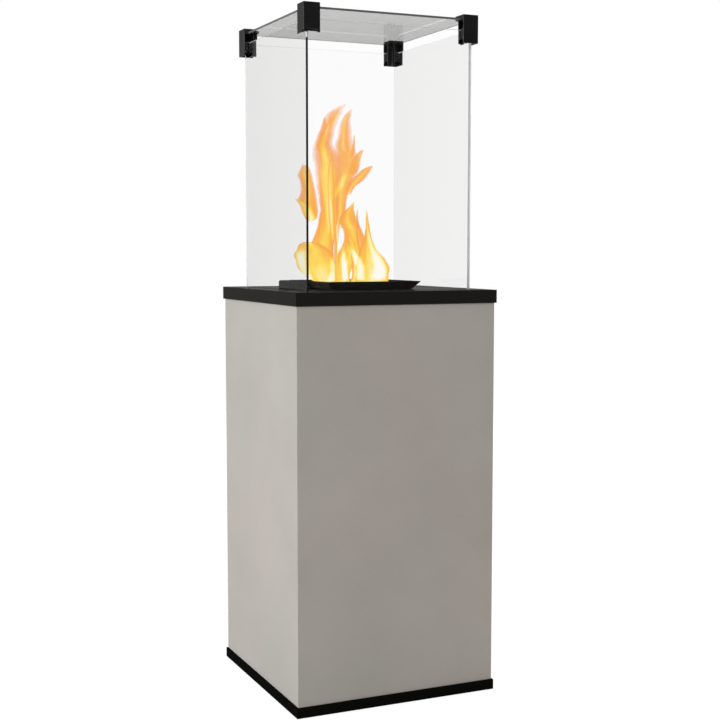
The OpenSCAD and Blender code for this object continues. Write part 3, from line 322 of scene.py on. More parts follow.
def mottle_group():
    """Soft clouds of a warm and a cool tone, with fine pores, as cement-look board has."""
    tree, given, out = shader_group(
        "Cement mottle", "Mask", "Height",
        Warm=COLOUR, Cool=COLOUR, Cloud_Scale=5.0, Amount=0.5, Pores=0.2,
    )
    place = object_place(tree)
    clouds = noise_of(tree, place, given["Cloud Scale"], 5.0, 0.6)
    drift = noise_of(
        tree, mapped(tree, place, (3.1, 1.7, 4.3)), times(tree, given["Cloud Scale"], 0.55), 3.0)
    warm = times(tree, map_range(tree, drift, 0.42, 0.7, smooth=True), given["Amount"])
    cool = times(tree, map_range(tree, drift, 0.56, 0.3, smooth=True), given["Amount"])
    tone = mix_colour(tree, warm, given["Colour"], given["Warm"])
    tone = mix_colour(tree, cool, tone, given["Cool"])
    fine = noise_of(tree, place, 160.0, 4.0, 0.65)
    shade = math_node(tree, "ADD", map_range(tree, clouds, 0.3, 0.7, 0.95, 1.05),
                      map_range(tree, fine, 0.3, 0.7, -0.018, 0.018))
    cells = add_node(tree, "ShaderNodeTexVoronoi", {"Vector": place, "Scale": 230.0})
    pores = times(tree, map_range(tree, cells.outputs["Distance"], 0.05, 0.17, 1.0, 0.0),
                  map_range(tree, fine, 0.52, 0.6))
    shade = math_node(tree, "SUBTRACT", shade, times(tree, pores, given["Pores"]))
    return give_out(tree, out, Colour=shaded(tree, tone, shade), Mask=clouds,
                    Height=math_node(tree, "SUBTRACT", fine, pores))


def grain_group():
    """Orange peel of powder coat, or the grain of moulded and cast skins."""
    tree, given, out = shader_group(
        "Coat grain", "Mask", "Height", Scale=900.0, Contrast=0.1, Stretch=(1, 1, 1))
    place = value_of(
        tree, "ShaderNodeVectorMath", {0: object_place(tree), 1: given["Stretch"]},
        operation="MULTIPLY",
    )
    peel = noise_of(tree, place, given["Scale"], 2.0, 0.5)
    broad = noise_of(tree, place, times(tree, given["Scale"], 0.02), 3.0)
    shift = math_node(tree, "SUBTRACT", math_node(tree, "ADD", peel, broad), 1.0)
    shade = math_node(tree, "MULTIPLY_ADD", shift, given["Contrast"], 1.0)
    return give_out(
        tree, out, Colour=shaded(tree, given["Colour"], shade), Mask=broad, Height=peel)


def edge_wear_and_highlight_group():
    """Another tone on the rounded edges, broken up by noise: partly rubbing, and where it is
    lighter than the finish, a painted edge highlight.
    """
    tree, given, out = shader_group("Edge rubbing and highlight", "Mask", Worn=COLOUR, Amount=0.4)
    patches = map_range(tree, noise_of(tree, object_place(tree), 38.0, 4.0, 0.7), 0.42, 0.62)
    mask = times(tree, stored(tree, "edge"), patches, given["Amount"])
    worn_and_highlight = mix_colour(tree, mask, given["Colour"], given["Worn"])
    return give_out(tree, out, Colour=worn_and_highlight, Mask=mask)


def dust_group():
    """Thin dust that settles on faces that look up."""
    tree, given, out = shader_group("Settled dust", "Mask", Amount=0.2)
    normal = add_node(tree, "ShaderNodeTexCoord").outputs["Normal"]
    up = add_node(tree, "ShaderNodeSeparateXYZ", {0: normal}).outputs["Z"]
    patches = map_range(tree, noise_of(tree, object_place(tree), 26.0, 6.0, 0.72), 0.38, 0.72)
    mask = times(tree, map_range(tree, up, 0.35, 1.0), patches, given["Amount"])
    dusty = mix_colour(tree, mask, given["Colour"], DUST)
    return give_out(tree, out, Colour=dusty, Mask=mask)


@cache
def shared(maker):
    """A node group, built the first time that it is asked for."""
    return maker()


def place_group(tree, maker, inputs):
    return add_node(tree, "ShaderNodeGroup", inputs, node_tree=shared(maker)).outputs


# Materials

def new_material(name):
    material = bpy.data.materials.new(name)
    material.use_nodes = True
    tree = material.node_tree
    tree.nodes.clear()
    return material, tree, tree.nodes.new("ShaderNodeOutputMaterial").inputs["Surface"]


def relief(tree, height, distance):
    return add_node(
        tree, "ShaderNodeBump", {"Height": height, "Strength": 1.0, "Distance": distance},
    ).outputs["Normal"]


def principled(tree, inputs):
    return value_of(tree, "ShaderNodeBsdfPrincipled", inputs)


def light_path(tree, name):
    return add_node(tree, "ShaderNodeLightPath").outputs[name]


def make_finish(name, colour, roughness, metallic=0.0, specular=0.5, grain=900, contrast=0.1,
                bump=2e-5, spread=0.08, worn_and_highlight=None, wear_and_highlight=0.4, dust=0.0, stretch=(1, 1, 1),
                coat=0.0, glow=0.0):
    """A finish with its grain, edges that are partly rubbing and partly a painted edge highlight,
    and dust; a painted glow is dimmer where it is mirrored.
    """
    material, tree, surface = new_material(name)
    skin = place_group(tree, grain_group, {
        "Colour": colour, "Scale": grain, "Contrast": contrast, "Stretch": stretch,
    })
    tone = skin["Colour"]
    rough = map_range(tree, skin["Mask"], 0.3, 0.7, roughness - spread, roughness + spread)
    if worn_and_highlight:
        tone = place_group(tree, edge_wear_and_highlight_group, {
            "Colour": tone, "Worn": srgb(*worn_and_highlight), "Amount": wear_and_highlight})["Colour"]
    if dust:
        settled = place_group(tree, dust_group, {"Colour": tone, "Amount": dust})
        tone = settled["Colour"]
        rough = math_node(tree, "MULTIPLY_ADD", settled["Mask"], 0.5, rough, clamp=True)
    # The glow is painted light on lit glass edges; mirrors see it dimmer
    if glow > MIRRORED_PAINTED_GLOW:
        glow = map_range(tree, light_path(tree, "Glossy Depth"), 0.0, 1.0, glow, MIRRORED_PAINTED_GLOW)
    tree.links.new(principled(tree, {
        "Base Color": tone, "Roughness": rough, "Metallic": metallic,
        "Normal": relief(tree, skin["Height"], bump), "Specular IOR Level": specular,
        "Coat Weight": coat, "Coat Roughness": 0.15,
        "Emission Color": colour, "Emission Strength": glow,
    }), surface)
    return material


# A finish is its colour setting, its roughness and what differs from a plain one
# The edge tones are partly rubbing and, where lighter than the finish, a painted edge highlight
GROUND = dict(specular=0.08, grain=500, bump=8e-6)
FINISHES = {
    "black_powder_coat": ("black_coat", 0.26, dict(
        specular=0.04, grain=700, bump=1e-5, worn_and_highlight=(84, 82, 79), wear_and_highlight=0.3, dust=0.01)),
    "plate_coat": ("black_coat", 0.2, dict(
        specular=0.02, grain=260, contrast=0.08, bump=4e-6, spread=0.04, worn_and_highlight=(84, 82, 79),
        wear_and_highlight=0.3, dust=0.01)),
    # Painted shade: painted darker than the tray's coat, against the light the glass mirrors over
    # the cover
    "cover_coat_painted_shade": ("cover_black_painted_shade", 0.5, dict(
        specular=0.0, grain=520, contrast=0.14, bump=1e-5, worn_and_highlight=(70, 67, 63), wear_and_highlight=0.3,
        dust=0.01)),
    # Painted shade: darker than the plate coat, standing in for the shade on the band near the
    # floor
    "base_coat_painted_shade": ("base_black_painted_shade", 0.5, dict(
        specular=0.0, grain=700, bump=1e-5, worn_and_highlight=(60, 58, 55), wear_and_highlight=0.2)),
    "frame_coat": ("black_frame", 0.5, dict(
        specular=0.35, grain=700, worn_and_highlight=(110, 108, 104), dust=0.15)),
    # Painted light: heat-proof coat painted lighter, standing in for light on the tray's shaded
    # front
    "stove_coat_painted_light": ("tray_black", 0.5, dict(
        specular=0.04, grain=520, contrast=0.16, worn_and_highlight=(80, 76, 72), wear_and_highlight=0.25, dust=0.02)),
    "clip_coat": ("clip_black", 0.3, dict(
        specular=0.75, grain=820, worn_and_highlight=(96, 96, 92), wear_and_highlight=0.3, dust=0.01)),
    "zinc_plate": ("zinc", 0.34, dict(
        metallic=1.0, grain=420, contrast=0.16, spread=0.1, worn_and_highlight=(214, 214, 212), dust=0.06)),
    "stainless_sheet": ("stainless", 0.32, dict(
        metallic=1.0, contrast=0.14, bump=6e-6, stretch=(0.05, 1, 1), worn_and_highlight=(222, 220, 216))),
    "brass_bar": ("brass", 0.3, dict(
        metallic=1.0, grain=600, bump=8e-6, worn_and_highlight=(226, 202, 140), wear_and_highlight=0.5)),
    "copper_bar": ("copper", 0.34, dict(
        metallic=1.0, grain=600, contrast=0.2, bump=8e-6, worn_and_highlight=(222, 160, 120))),
    "alloy_cast": ("cast_alloy", 0.48, dict(
        metallic=1.0, grain=360, contrast=0.18, bump=5e-5, worn_and_highlight=(206, 208, 208), wear_and_highlight=0.5,
        dust=0.08)),
    "drawn_tube": ("cast_alloy", 0.3, dict(metallic=1.0, grain=500, contrast=0.12, bump=6e-6)),
    "hose_rubber": ("hose", 0.5, dict(grain=420, contrast=0.14, bump=3e-5, dust=0.08)),
    "bottle_enamel": ("bottle", 0.34, dict(
        grain=240, contrast=0.08, bump=3e-5, worn_and_highlight=(104, 92, 84), wear_and_highlight=0.7, dust=0.16, coat=0.25)),
    "wheel_plastic": ("handwheel", 0.42, dict(grain=700, worn_and_highlight=(96, 130, 180), dust=0.08)),
    "button_plastic": ("button", 0.3, dict(contrast=0.06)),
    "knob_plastic": ("knob", 0.44, dict(grain=800, worn_and_highlight=(78, 78, 78), dust=0.04)),
    "knob_line": ("knob_line", 0.5, dict(grain=800)),
    "soft_rubber": ("rubber", 0.74, dict(grain=380, contrast=0.25, bump=5e-5, dust=0.2)),
    "dark_silicone": ("silicone", 0.55, dict(grain=300, bump=3e-5)),
    "glazed_ceramic": ("ceramic", 0.25, dict(grain=260, contrast=0.08, bump=1e-5, dust=0.1)),
    "turned_nylon": ("nylon", 0.45, dict(grain=500, contrast=0.08)),
    "sleeve_silicone": ("lead_sleeve", 0.5, dict(grain=400)),
    "edge_near_painted_shade": ("edge_near_painted_shade", 0.4, GROUND),
    "edge_lid_painted_shade": ("edge_lid_painted_shade", 0.4, GROUND),
    "edge_pale": ("edge_pale", 0.4, GROUND),
    # Painted light: pane tops painted lighter with a faint painted glow, and a stronger painted
    # glow on the lit ones
    "edge_top_painted_light": ("edge_top_painted_light", 0.4, dict(**GROUND, glow=MIRRORED_PAINTED_GLOW)),
    "edge_lit_painted_glow": ("edge_top_painted_light", 0.4, dict(**GROUND, glow=0.45)),
}
SLOT_FINISH = {
    "black_plate": "black_powder_coat", "black_frame": "frame_coat", "clip_black": "clip_coat",
    "cladding": "cement_board", "silicone": "dark_silicone", "rubber_black": "soft_rubber",
    "zinc_steel": "zinc_plate", "stainless": "stainless_sheet", "tray_black": "stove_coat_painted_light",
    "brass": "brass_bar", "copper": "copper_bar", "cast_alloy": "alloy_cast",
    "tube_alloy": "drawn_tube", "ceramic_white": "glazed_ceramic", "nylon": "turned_nylon",
    "lead_sleeve": "sleeve_silicone", "hose_orange": "hose_rubber",
    "bottle_paint": "bottle_enamel", "wheel_blue": "wheel_plastic",
    "knob_black": "knob_plastic", "button_red": "button_plastic",
}
PANE_FINISHES = ("clear_glass", "edge_near_painted_shade", "edge_lid_painted_shade", "edge_pale", "edge_top_painted_light", "edge_lit_painted_glow")
OWN_FINISH = {"top_plate": "plate_coat", "burner_deck": "plate_coat",
              "pilot_cover": "cover_coat_painted_shade", "base_tray": "base_coat_painted_shade"}


@cache
def finish(name):
    """The material of that name, made the first time that a piece asks for it."""
    special = {"cement_board": cement_board, "clear_glass": clear_glass, "flame_glow": flame_glow}
    if name in special:
        return special[name](name)
    colour, roughness, more = FINISHES[name]
    return make_finish(name, getattr(colours(), colour), roughness, **more)


def finish_for(node):
    """The node's own finish, or else the one of its slot."""
    return finish(OWN_FINISH.get(node, SLOT_FINISH[SLOT_OF[node]]))


def cement_board(name):
    """Matt grey cladding with soft warm and cool clouds."""
    tint = colours()
    material, tree, surface = new_material(name)
    board = place_group(tree, mottle_group, {
        "Colour": tint.cladding, "Warm": tint.cladding_warm, "Cool": tint.cladding_cool,
        "Cloud Scale": 4.5, "Amount": 0.45, "Pores": 0.1,
    })
    # Lighter edges: partly rubbing, partly a painted edge highlight
    rubbed_and_highlight = place_group(tree, edge_wear_and_highlight_group, {
        "Colour": board["Colour"], "Worn": srgb(196, 191, 184), "Amount": 0.35,
    })
    tree.links.new(principled(tree, {
        "Base Color": rubbed_and_highlight["Colour"], "Specular IOR Level": 0.3,
        "Roughness": map_range(tree, board["Mask"], 0.3, 0.7, 0.78, 0.9),
        "Normal": relief(tree, board["Height"], 0.00012),
    }), surface)
    return material


def clear_glass(name):
    """Glass that lets the lamps through, with its tint seen straight, aslant and along it; the
    greyer tint aslant is partly the longer way through the glass and partly painted shade for the
    darker studio that it mirrors.
    """
    material, tree, surface = new_material(name)
    facing = add_node(tree, "ShaderNodeLayerWeight", {"Blend": 0.5}).outputs["Facing"]
    # Greyer at grazing angles: partly the longer way through the glass, partly painted shade for
    # the darker surroundings mirrored in it
    tint = colour_ramp(tree, facing, (0.12, WHITE), (0.6, (0.925, 0.92, 0.915)),
                       (0.86, (0.88, 0.868, 0.857)))
    glass = principled(tree, {
        "Base Color": tint, "Roughness": 0.0, "Transmission Weight": 1.0, "IOR": 1.22,
    })
    through = value_of(tree, "ShaderNodeBsdfTransparent", {"Color": (0.95, 0.95, 0.95)})
    mixed = value_of(tree, "ShaderNodeMixShader", {
        0: light_path(tree, "Is Shadow Ray"), 1: glass, 2: through})
    tree.links.new(mixed, surface)
    return material


def flame_glow(name):
    """Thin flame: orange rim, yellow streaks, clear towards its edges, foot and tip."""
    tint = colours()
    material, tree, surface = new_material(name)

    def calc(operation, a, b, c=0.0, clamp=False):
        return math_node(tree, operation, a, b, c, clamp)

    def ranged(value, *limits):
        return map_range(tree, value, *limits)

    rim, rise, level, glow = (stored(tree, key) for key in ("rim", "rise", "level", "glow"))
    uv = value_of(tree, "ShaderNodeUVMap", uv_map="UVMap")
    streaks = noise_of(tree, mapped(tree, uv, scale=(4.0, 1.6, 1.0)), 1.0, 3.0, 0.5)
    feather = noise_of(tree, mapped(tree, uv, scale=(13.0, 2.2, 1.0)), 1.0, 3.0, 0.6)
    centre = calc("SUBTRACT", 1.0, rim)
    heat = calc("MULTIPLY_ADD", calc("POWER", centre, 0.62), 0.5,
                ranged(streaks, 0.35, 0.7, -0.08, 0.16))
    heat = calc("SUBTRACT", heat, times(tree, level, 0.24))
    heat = calc("ADD", heat, ranged(level, 0.26, 0.0, 0.0, 0.2))
    heat = calc("ADD", heat, times(tree, glow, ranged(level, 0.0, 0.4, 0.6, 0.26)))
    colour = colour_ramp(
        tree, heat, (0.0, tint.flame_tip), (0.24, tint.flame_body), (0.55, tint.flame_core),
        (0.8, tint.flame_root), (1.0, (1.0, 0.98, 0.9)),
    )
    edge = calc("DIVIDE", centre, ranged(level, 0.14, 0.9, 0.06, 0.72), clamp=True)
    torn = calc("SUBTRACT", 1.0, ranged(feather, 0.3, 0.62))
    kept = calc("SUBTRACT", 1.0, times(tree, ranged(level, 0.35, 1.0, 0.0, 0.7), torn))
    foot = calc("ADD", ranged(rise, 0.0, 0.12), ranged(level, 0.16, 0.06), clamp=True)
    unmirrored = calc("SUBTRACT", 1.0, light_path(tree, "Glossy Depth"), clamp=True)
    alpha = times(tree, edge, kept, ranged(rise, 1.0, 0.9), foot, unmirrored)
    alpha = calc("MULTIPLY", alpha, ranged(level, 0.0, 1.0, 0.94, 0.84), clamp=True)
    tree.links.new(principled(tree, {
        "Base Color": (0.0, 0.0, 0.0), "Roughness": 1.0, "Specular IOR Level": 0.0,
        "Emission Color": colour, "Emission Strength": 1.0, "Alpha": alpha,
    }), surface)
    return material


# Meshes

def put(name, data):
    """Adds an object to the scene."""
    made = bpy.data.objects.new(name, data)
    bpy.context.scene.collection.objects.link(made)
    return made


def paint(mesh, *finishes):
    """Gives a mesh these materials and no others."""
    mesh.materials.clear()
    for each in finishes:
        mesh.materials.append(each)
    return mesh


@contextmanager
def editing(mesh, source=None):
    """Opens a mesh, or a copy of its source, for changes and writes them to the mesh."""
    work = bmesh.new()
    work.from_mesh(source or mesh)
    yield work
    work.to_mesh(mesh)
    work.free()


def merge_flat(work):
    """Joins loose triangles and makes flat faces whole."""
    for face in work.faces:
        face.smooth = False
    bmesh.ops.remove_doubles(work, verts=work.verts, dist=2e-6)
    bmesh.ops.dissolve_limit(
        work, angle_limit=math.radians(0.4), verts=work.verts[:], edges=work.edges[:],
        use_dissolve_boundaries=False,
    )


def clean(work, reach=4e-6):
    """Joins points that fall together, takes out slivers and fills the gaps they leave."""
    bmesh.ops.remove_doubles(work, verts=work.verts[:], dist=reach)
    bmesh.ops.dissolve_degenerate(work, dist=reach, edges=work.edges[:])
    rim = [edge for edge in work.edges if len(edge.link_faces) == 1]
    if rim:
        bmesh.ops.holes_fill(work, edges=rim, sides=4)


def round_edges(work, mask, width, segments, shortest):
    """Rounds the sharp edges over a length that no rounding touches, and masks the faces."""
    sharp = [
        edge for edge in work.edges
        if len(edge.link_faces) == 2 and edge.calc_length() > shortest
        and edge.calc_face_angle(0.0) > SHARP_ANGLE
        and not any(face[mask] for face in edge.link_faces)
    ]
    if sharp:
        for face in bmesh.ops.bevel(
            work, geom=sharp, offset=width, offset_type="OFFSET", segments=segments,
            profile=0.5, affect="EDGES", clamp_overlap=True,
        )["faces"]:
            face[mask] = 1.0


def eased_mesh(node, width, segments=2):
    """The node's shape with its sharp edges rounded, kept as a mesh with an edge mask."""
    mesh = bpy.data.meshes.new(node + "_finished")
    with editing(mesh, NODES[node].data) as work:
        merge_flat(work)
        mask = work.faces.layers.float.new("edge")
        round_edges(work, mask, width, segments, width * 8)
        round_edges(work, mask, width / 3, 1, 0.0)
        clean(work)
        for face in work.faces:
            face.smooth = True
        for edge in work.edges:
            pair = edge.link_faces
            if len(pair) == 2:
                ends = pair[0][mask] != pair[1][mask]
                edge.smooth = not (ends or edge.calc_face_angle(0.0) > CREASE_ANGLE)
    return mesh


def cut_faces(mesh, axis, *levels):
    """Divides the faces of a mesh at levels along an axis, so that a finish can end there."""
    with editing(mesh) as work:
        for level in levels:
            bmesh.ops.bisect_plane(
                work, geom=work.verts[:] + work.edges[:] + work.faces[:], dist=1e-6,
                plane_co=axis * level, plane_no=axis,
            )


def trimmed(mesh, low, high):
    """The mesh without what lies in a box."""
    box = bpy.data.meshes.new("trim_box")
    with editing(box) as work:
        bmesh.ops.create_cube(work, size=1.0)
        for vert in work.verts:
            vert.co = [
                (low[i] + high[i]) / 2 + vert.co[i] * (high[i] - low[i]) for i in range(3)
            ]
    body, cutter = put("trim_body", mesh), put("trim_cutter", box)
    cut = body.modifiers.new("trim", "BOOLEAN")
    cut.operation, cut.solver, cut.object = "DIFFERENCE", "EXACT", cutter
    bpy.context.view_layer.update()
    graph = bpy.context.evaluated_depsgraph_get()
    result = bpy.data.meshes.new_from_object(body.evaluated_get(graph))
    result.name = mesh.name
    for each in (body, cutter):
        bpy.data.objects.remove(each)
    bpy.data.meshes.remove(box)
    with editing(result) as work:
        clean(work)
    return result


def near_clip_trimmed(mesh):
    """Shortens what stands inside the walls of the near clip, which shows in its cut-out."""
    wall, reach, below, above = 0.0021, 0.045, 0.002, 0.007
    return trimmed(mesh, (CLIP_LOW.x + wall, CLIP_LOW.y + wall, CLIP_LOW.z - below),
                   (CLIP_LOW.x + reach, CLIP_LOW.y + reach, CLIP_LOW.z + above))


# Pieces

def add_piece(name, mesh, body, replaces=()):
    """Puts a finished mesh on its body as a piece."""
    piece = put(name, mesh)
    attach(piece, body)
    if replaces:
        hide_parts(*replaces)
    return piece


def stand_in(node, mesh, name=None):
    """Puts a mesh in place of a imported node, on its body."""
    add_piece(name or node + "_finished", mesh, BODY_OF[node], (node,))


def ease(width, *nodes, segments=2):
    """Replaces nodes by their own shapes with rounded edges, in their finishes."""
    for node in nodes:
        stand_in(node, paint(eased_mesh(node, width, segments), finish_for(node)))


def refinish(*nodes):
    """Keeps the nodes' own shapes and gives them their finishes."""
    for node in nodes:
        paint(NODES[node].data, finish_for(node))


# Repeated parts and tubes: geometry node trees with named sizes

def geometry_tree(name, **inputs):
    """Geometry node group that takes points or a line, named sizes and a finish."""
    return new_group(
        name, {"Geometry": "NodeSocketGeometry", **inputs, "Finish": "NodeSocketMaterial"},
        {"Geometry": "NodeSocketGeometry"}, "GeometryNodeTree",
    )


def cylinder(tree, vertices, radius, depth):
    return value_of(tree, "GeometryNodeMeshCylinder", {
        "Vertices": vertices, "Radius": radius, "Depth": depth})


def cone(tree, top, bottom, depth):
    return value_of(tree, "GeometryNodeMeshCone", {
        "Vertices": 24, "Radius Top": top, "Radius Bottom": bottom, "Depth": depth})


def circle(tree, resolution, radius):
    return value_of(tree, "GeometryNodeCurvePrimitiveCircle", {
        "Resolution": resolution, "Radius": radius})


def lifted(tree, geometry, height):
    move = value_of(tree, "ShaderNodeCombineXYZ", {"Z": height})
    return value_of(tree, "GeometryNodeTransform", {
        "Geometry": geometry, "Translation": move})


def joined(tree, *parts):
    join = add_node(tree, "GeometryNodeJoinGeometry")
    for part in parts:
        tree.links.new(part, join.inputs[0])
    return join.outputs[0]


def shade_smooth(tree, geometry, smooth, domain):
    return value_of(tree, "GeometryNodeSetShadeSmooth", {
        "Geometry": geometry, "Shade Smooth": smooth}, domain=domain)


def close_tree(tree, given, out, geometry):
    """Ends a tree in Realize Instances, smooth shading and Set Material."""
    real = value_of(tree, "GeometryNodeRealizeInstances", {0: geometry})
    angle = add_node(tree, "GeometryNodeInputMeshEdgeAngle").outputs["Unsigned Angle"]
    gentle = value_of(
        tree, "FunctionNodeCompare", {0: angle, 1: math.radians(38)},
        operation="LESS_THAN", data_type="FLOAT",
    )
    smooth = shade_smooth(tree, shade_smooth(tree, real, gentle, "EDGE"), True, "FACE")
    done = value_of(tree, "GeometryNodeSetMaterial", {
        "Geometry": smooth, "Material": given["Finish"]})
    return give_out(tree, out, Geometry=done)


def close_on_points(tree, given, out, part, turned=False):
    """Ends a tree with a part on each point, turned to the point's own axis if wanted."""
    inputs = {"Points": given["Geometry"], "Instance": part}
    if turned:
        axis = value_of(
            tree, "GeometryNodeInputNamedAttribute", {"Name": "axis"}, data_type="FLOAT_VECTOR",
        )
        inputs["Rotation"] = value_of(
            tree, "FunctionNodeAlignRotationToVector", {"Vector": axis}, axis="Z",
        )
    placed = value_of(tree, "GeometryNodeInstanceOnPoints", inputs)
    return close_tree(tree, given, out, placed)


def pipe_tree():
    """A round tube that follows a line of points."""
    tree, given, out = geometry_tree("Tube along a route", Radius=0.004, Sides=20)
    line = value_of(tree, "GeometryNodeMeshToCurve", {0: given["Geometry"]})
    tube = value_of(tree, "GeometryNodeCurveToMesh", {
        "Curve": line, "Profile Curve": circle(tree, given["Sides"], given["Radius"]),
        "Fill Caps": True,
    })
    return close_tree(tree, given, out, tube)


def screw_tree():
    """Socket-head screws on points, each turned to the point's own axis."""
    tree, given, out = geometry_tree(
        "Socket screws", Head_Radius=0.0038, Head_Height=0.0024, Socket_Radius=0.0014,
        Shank_Radius=0.0019, Shank_Length=0.006)
    radius, height, length = (given[key] for key in ("Head Radius", "Head Height", "Shank Length"))
    rim = cylinder(tree, 24, radius, times(tree, height, 0.4))
    dome = cone(tree, times(tree, radius, 0.72), radius, times(tree, height, 0.6))
    key = cylinder(tree, 6, given["Socket Radius"], height)
    head = value_of(tree, "GeometryNodeMeshBoolean", {
        0: lifted(tree, dome, times(tree, height, 0.4)), 1: lifted(tree, key, height),
    }, operation="DIFFERENCE")
    shank = cylinder(tree, 16, given["Shank Radius"], length)
    screw = joined(tree, lifted(tree, shank, times(tree, length, -0.5)),
                   lifted(tree, rim, times(tree, height, 0.2)), head)
    return close_on_points(tree, given, out, screw, turned=True)


def nut_tree():
    """Hexagon nuts on points, with turned-down corners."""
    tree, given, out = geometry_tree("Hexagon nuts", Radius=0.0038, Height=0.003)
    radius, height = given["Radius"], given["Height"]
    body = cylinder(tree, 6, radius, times(tree, height, 0.8))
    crown = cone(tree, times(tree, radius, 0.72), times(tree, radius, 0.86),
                 times(tree, height, 0.2))
    nut = joined(tree, lifted(tree, body, times(tree, height, 0.4)),
                 lifted(tree, crown, times(tree, height, 0.8)))
    return close_on_points(tree, given, out, nut)


def bar_ring_tree():
    """Rounded bars set round a circle, as the grips of a knob."""
    tree, given, out = geometry_tree(
        "Grips round a circle", Count=28, Circle_Radius=0.0178, Bar_Radius=0.0007,
        Bar_Length=0.008)
    bar = cylinder(tree, 10, given["Bar Radius"], given["Bar Length"])
    around = value_of(tree, "GeometryNodeInstanceOnPoints", {
        "Points": circle(tree, given["Count"], given["Circle Radius"]), "Instance": bar,
    })
    return close_on_points(tree, given, out, around, turned=True)


def collar_tree():
    """Small rolled collars on points, as the rims of flame ports."""
    tree, given, out = geometry_tree(
        "Port collars", Collar_Radius=0.0016, Wire_Radius=0.0004)
    collar = value_of(tree, "GeometryNodeCurveToMesh", {
        "Curve": circle(tree, 14, given["Collar Radius"]),
        "Profile Curve": circle(tree, 6, given["Wire Radius"]),
    })
    return close_on_points(tree, given, out, collar)


def repeated_mesh(maker, name, finished, points, edges=(), axes=None, **values):
    """Runs a geometry node tree on points and gives back the plain mesh."""
    tree = shared(maker)
    base = bpy.data.meshes.new(name + "_points")
    base.from_pydata([tuple(p) for p in points], list(edges), [])
    if axes is not None:
        layer = base.attributes.new("axis", "FLOAT_VECTOR", "POINT")
        layer.data.foreach_set("vector", [c for axis in axes for c in axis])
    holder = put(name + "_holder", base)
    modifier = holder.modifiers.new("build", "NODES")
    modifier.node_group = tree
    keys = {
        item.name: item.identifier for item in tree.interface.items_tree
        if item.item_type == "SOCKET" and item.in_out == "INPUT"
    }
    for title, value in {**values, "Finish": finished}.items():
        modifier[keys[title.replace("_", " ")]] = value
    graph = bpy.context.evaluated_depsgraph_get()
    graph.update()
    mesh = bpy.data.meshes.new_from_object(holder.evaluated_get(graph))
    mesh.name = name
    holder.modifiers.remove(modifier)
    bpy.data.objects.remove(holder)
    bpy.data.meshes.remove(base)
    if not mesh.polygons:
        raise RuntimeError(f"the tree gave no faces for {name}")
    return mesh


def between(a, b, share):
    """Point between two ends, given as a share of the way on each axis."""
    return tuple(a[i] + (b[i] - a[i]) * share[i] for i in range(3))


def moved(point, *step):
    return tuple(point[i] + step[i] for i in range(3))


def smooth_line(route, steps):
    """Points on a smooth curve through a route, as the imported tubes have."""
    line, last = [], len(route) - 1
    for i in range(last):
        a, b = Vector(route[max(i - 1, 0)]), Vector(route[i])
        c, d = Vector(route[i + 1]), Vector(route[min(i + 2, last)])
        for k in range(steps):
            t = k / steps
            line.append(0.5 * (2 * b + (c - a) * t + (2 * a - 5 * b + 4 * c - d) * t * t
                               + (3 * b - a - 3 * c + d) * t ** 3))
    return [*line, Vector(route[last])]


def lay_tube(name, node, radius, sides, route):
    """A smooth tube along a route in millimetres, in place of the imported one."""
    line = [p / 1000 for p in smooth_line(route, 8)]
    stand_in(node, repeated_mesh(
        pipe_tree, name, finish_for(node), line, [(i, i + 1) for i in range(len(line) - 1)],
        Radius=radius, Sides=sides,
    ), name)


# Build steps

class HeaterOperator:
    """What every build step of the heater shares."""
    bl_options = {"REGISTER", "UNDO"}


class HEATER_OT_cladding(HeaterOperator, bpy.types.Operator):
    """Give the three cladding panels soft edges and the concrete look"""
    bl_idname = "heater.cladding"
    bl_label = "Cladding panels"

    def execute(self, context):
        ease(sizes().panel_edge, "front_panel", "left_panel", "right_panel", segments=3)
        return {"FINISHED"}


class HEATER_OT_plates(HeaterOperator, bpy.types.Operator):
    """Round the folds of the base tray, top plate and burner deck"""
    bl_idname = "heater.plates"
    bl_label = "Black plates"

    def execute(self, context):
        ease(sizes().sheet_edge, "base_tray", "top_plate", "burner_deck")
        return {"FINISHED"}


class HEATER_OT_chassis(HeaterOperator, bpy.types.Operator):
    """Finish the posts, frame, channel, stop, shield and feet"""
    bl_idname = "heater.chassis"
    bl_label = "Frame inside the column"

    def execute(self, context):
        ease(sizes().sheet_edge * THIN, "post_front_left", "post_front_right", "post_rear_left",
             "post_rear_right", "top_frame", "glass_channel", "bottle_stop", "heat_shield")
        ease(FOOT_EDGE, "rubber_feet", segments=3)
        return {"FINISHED"}


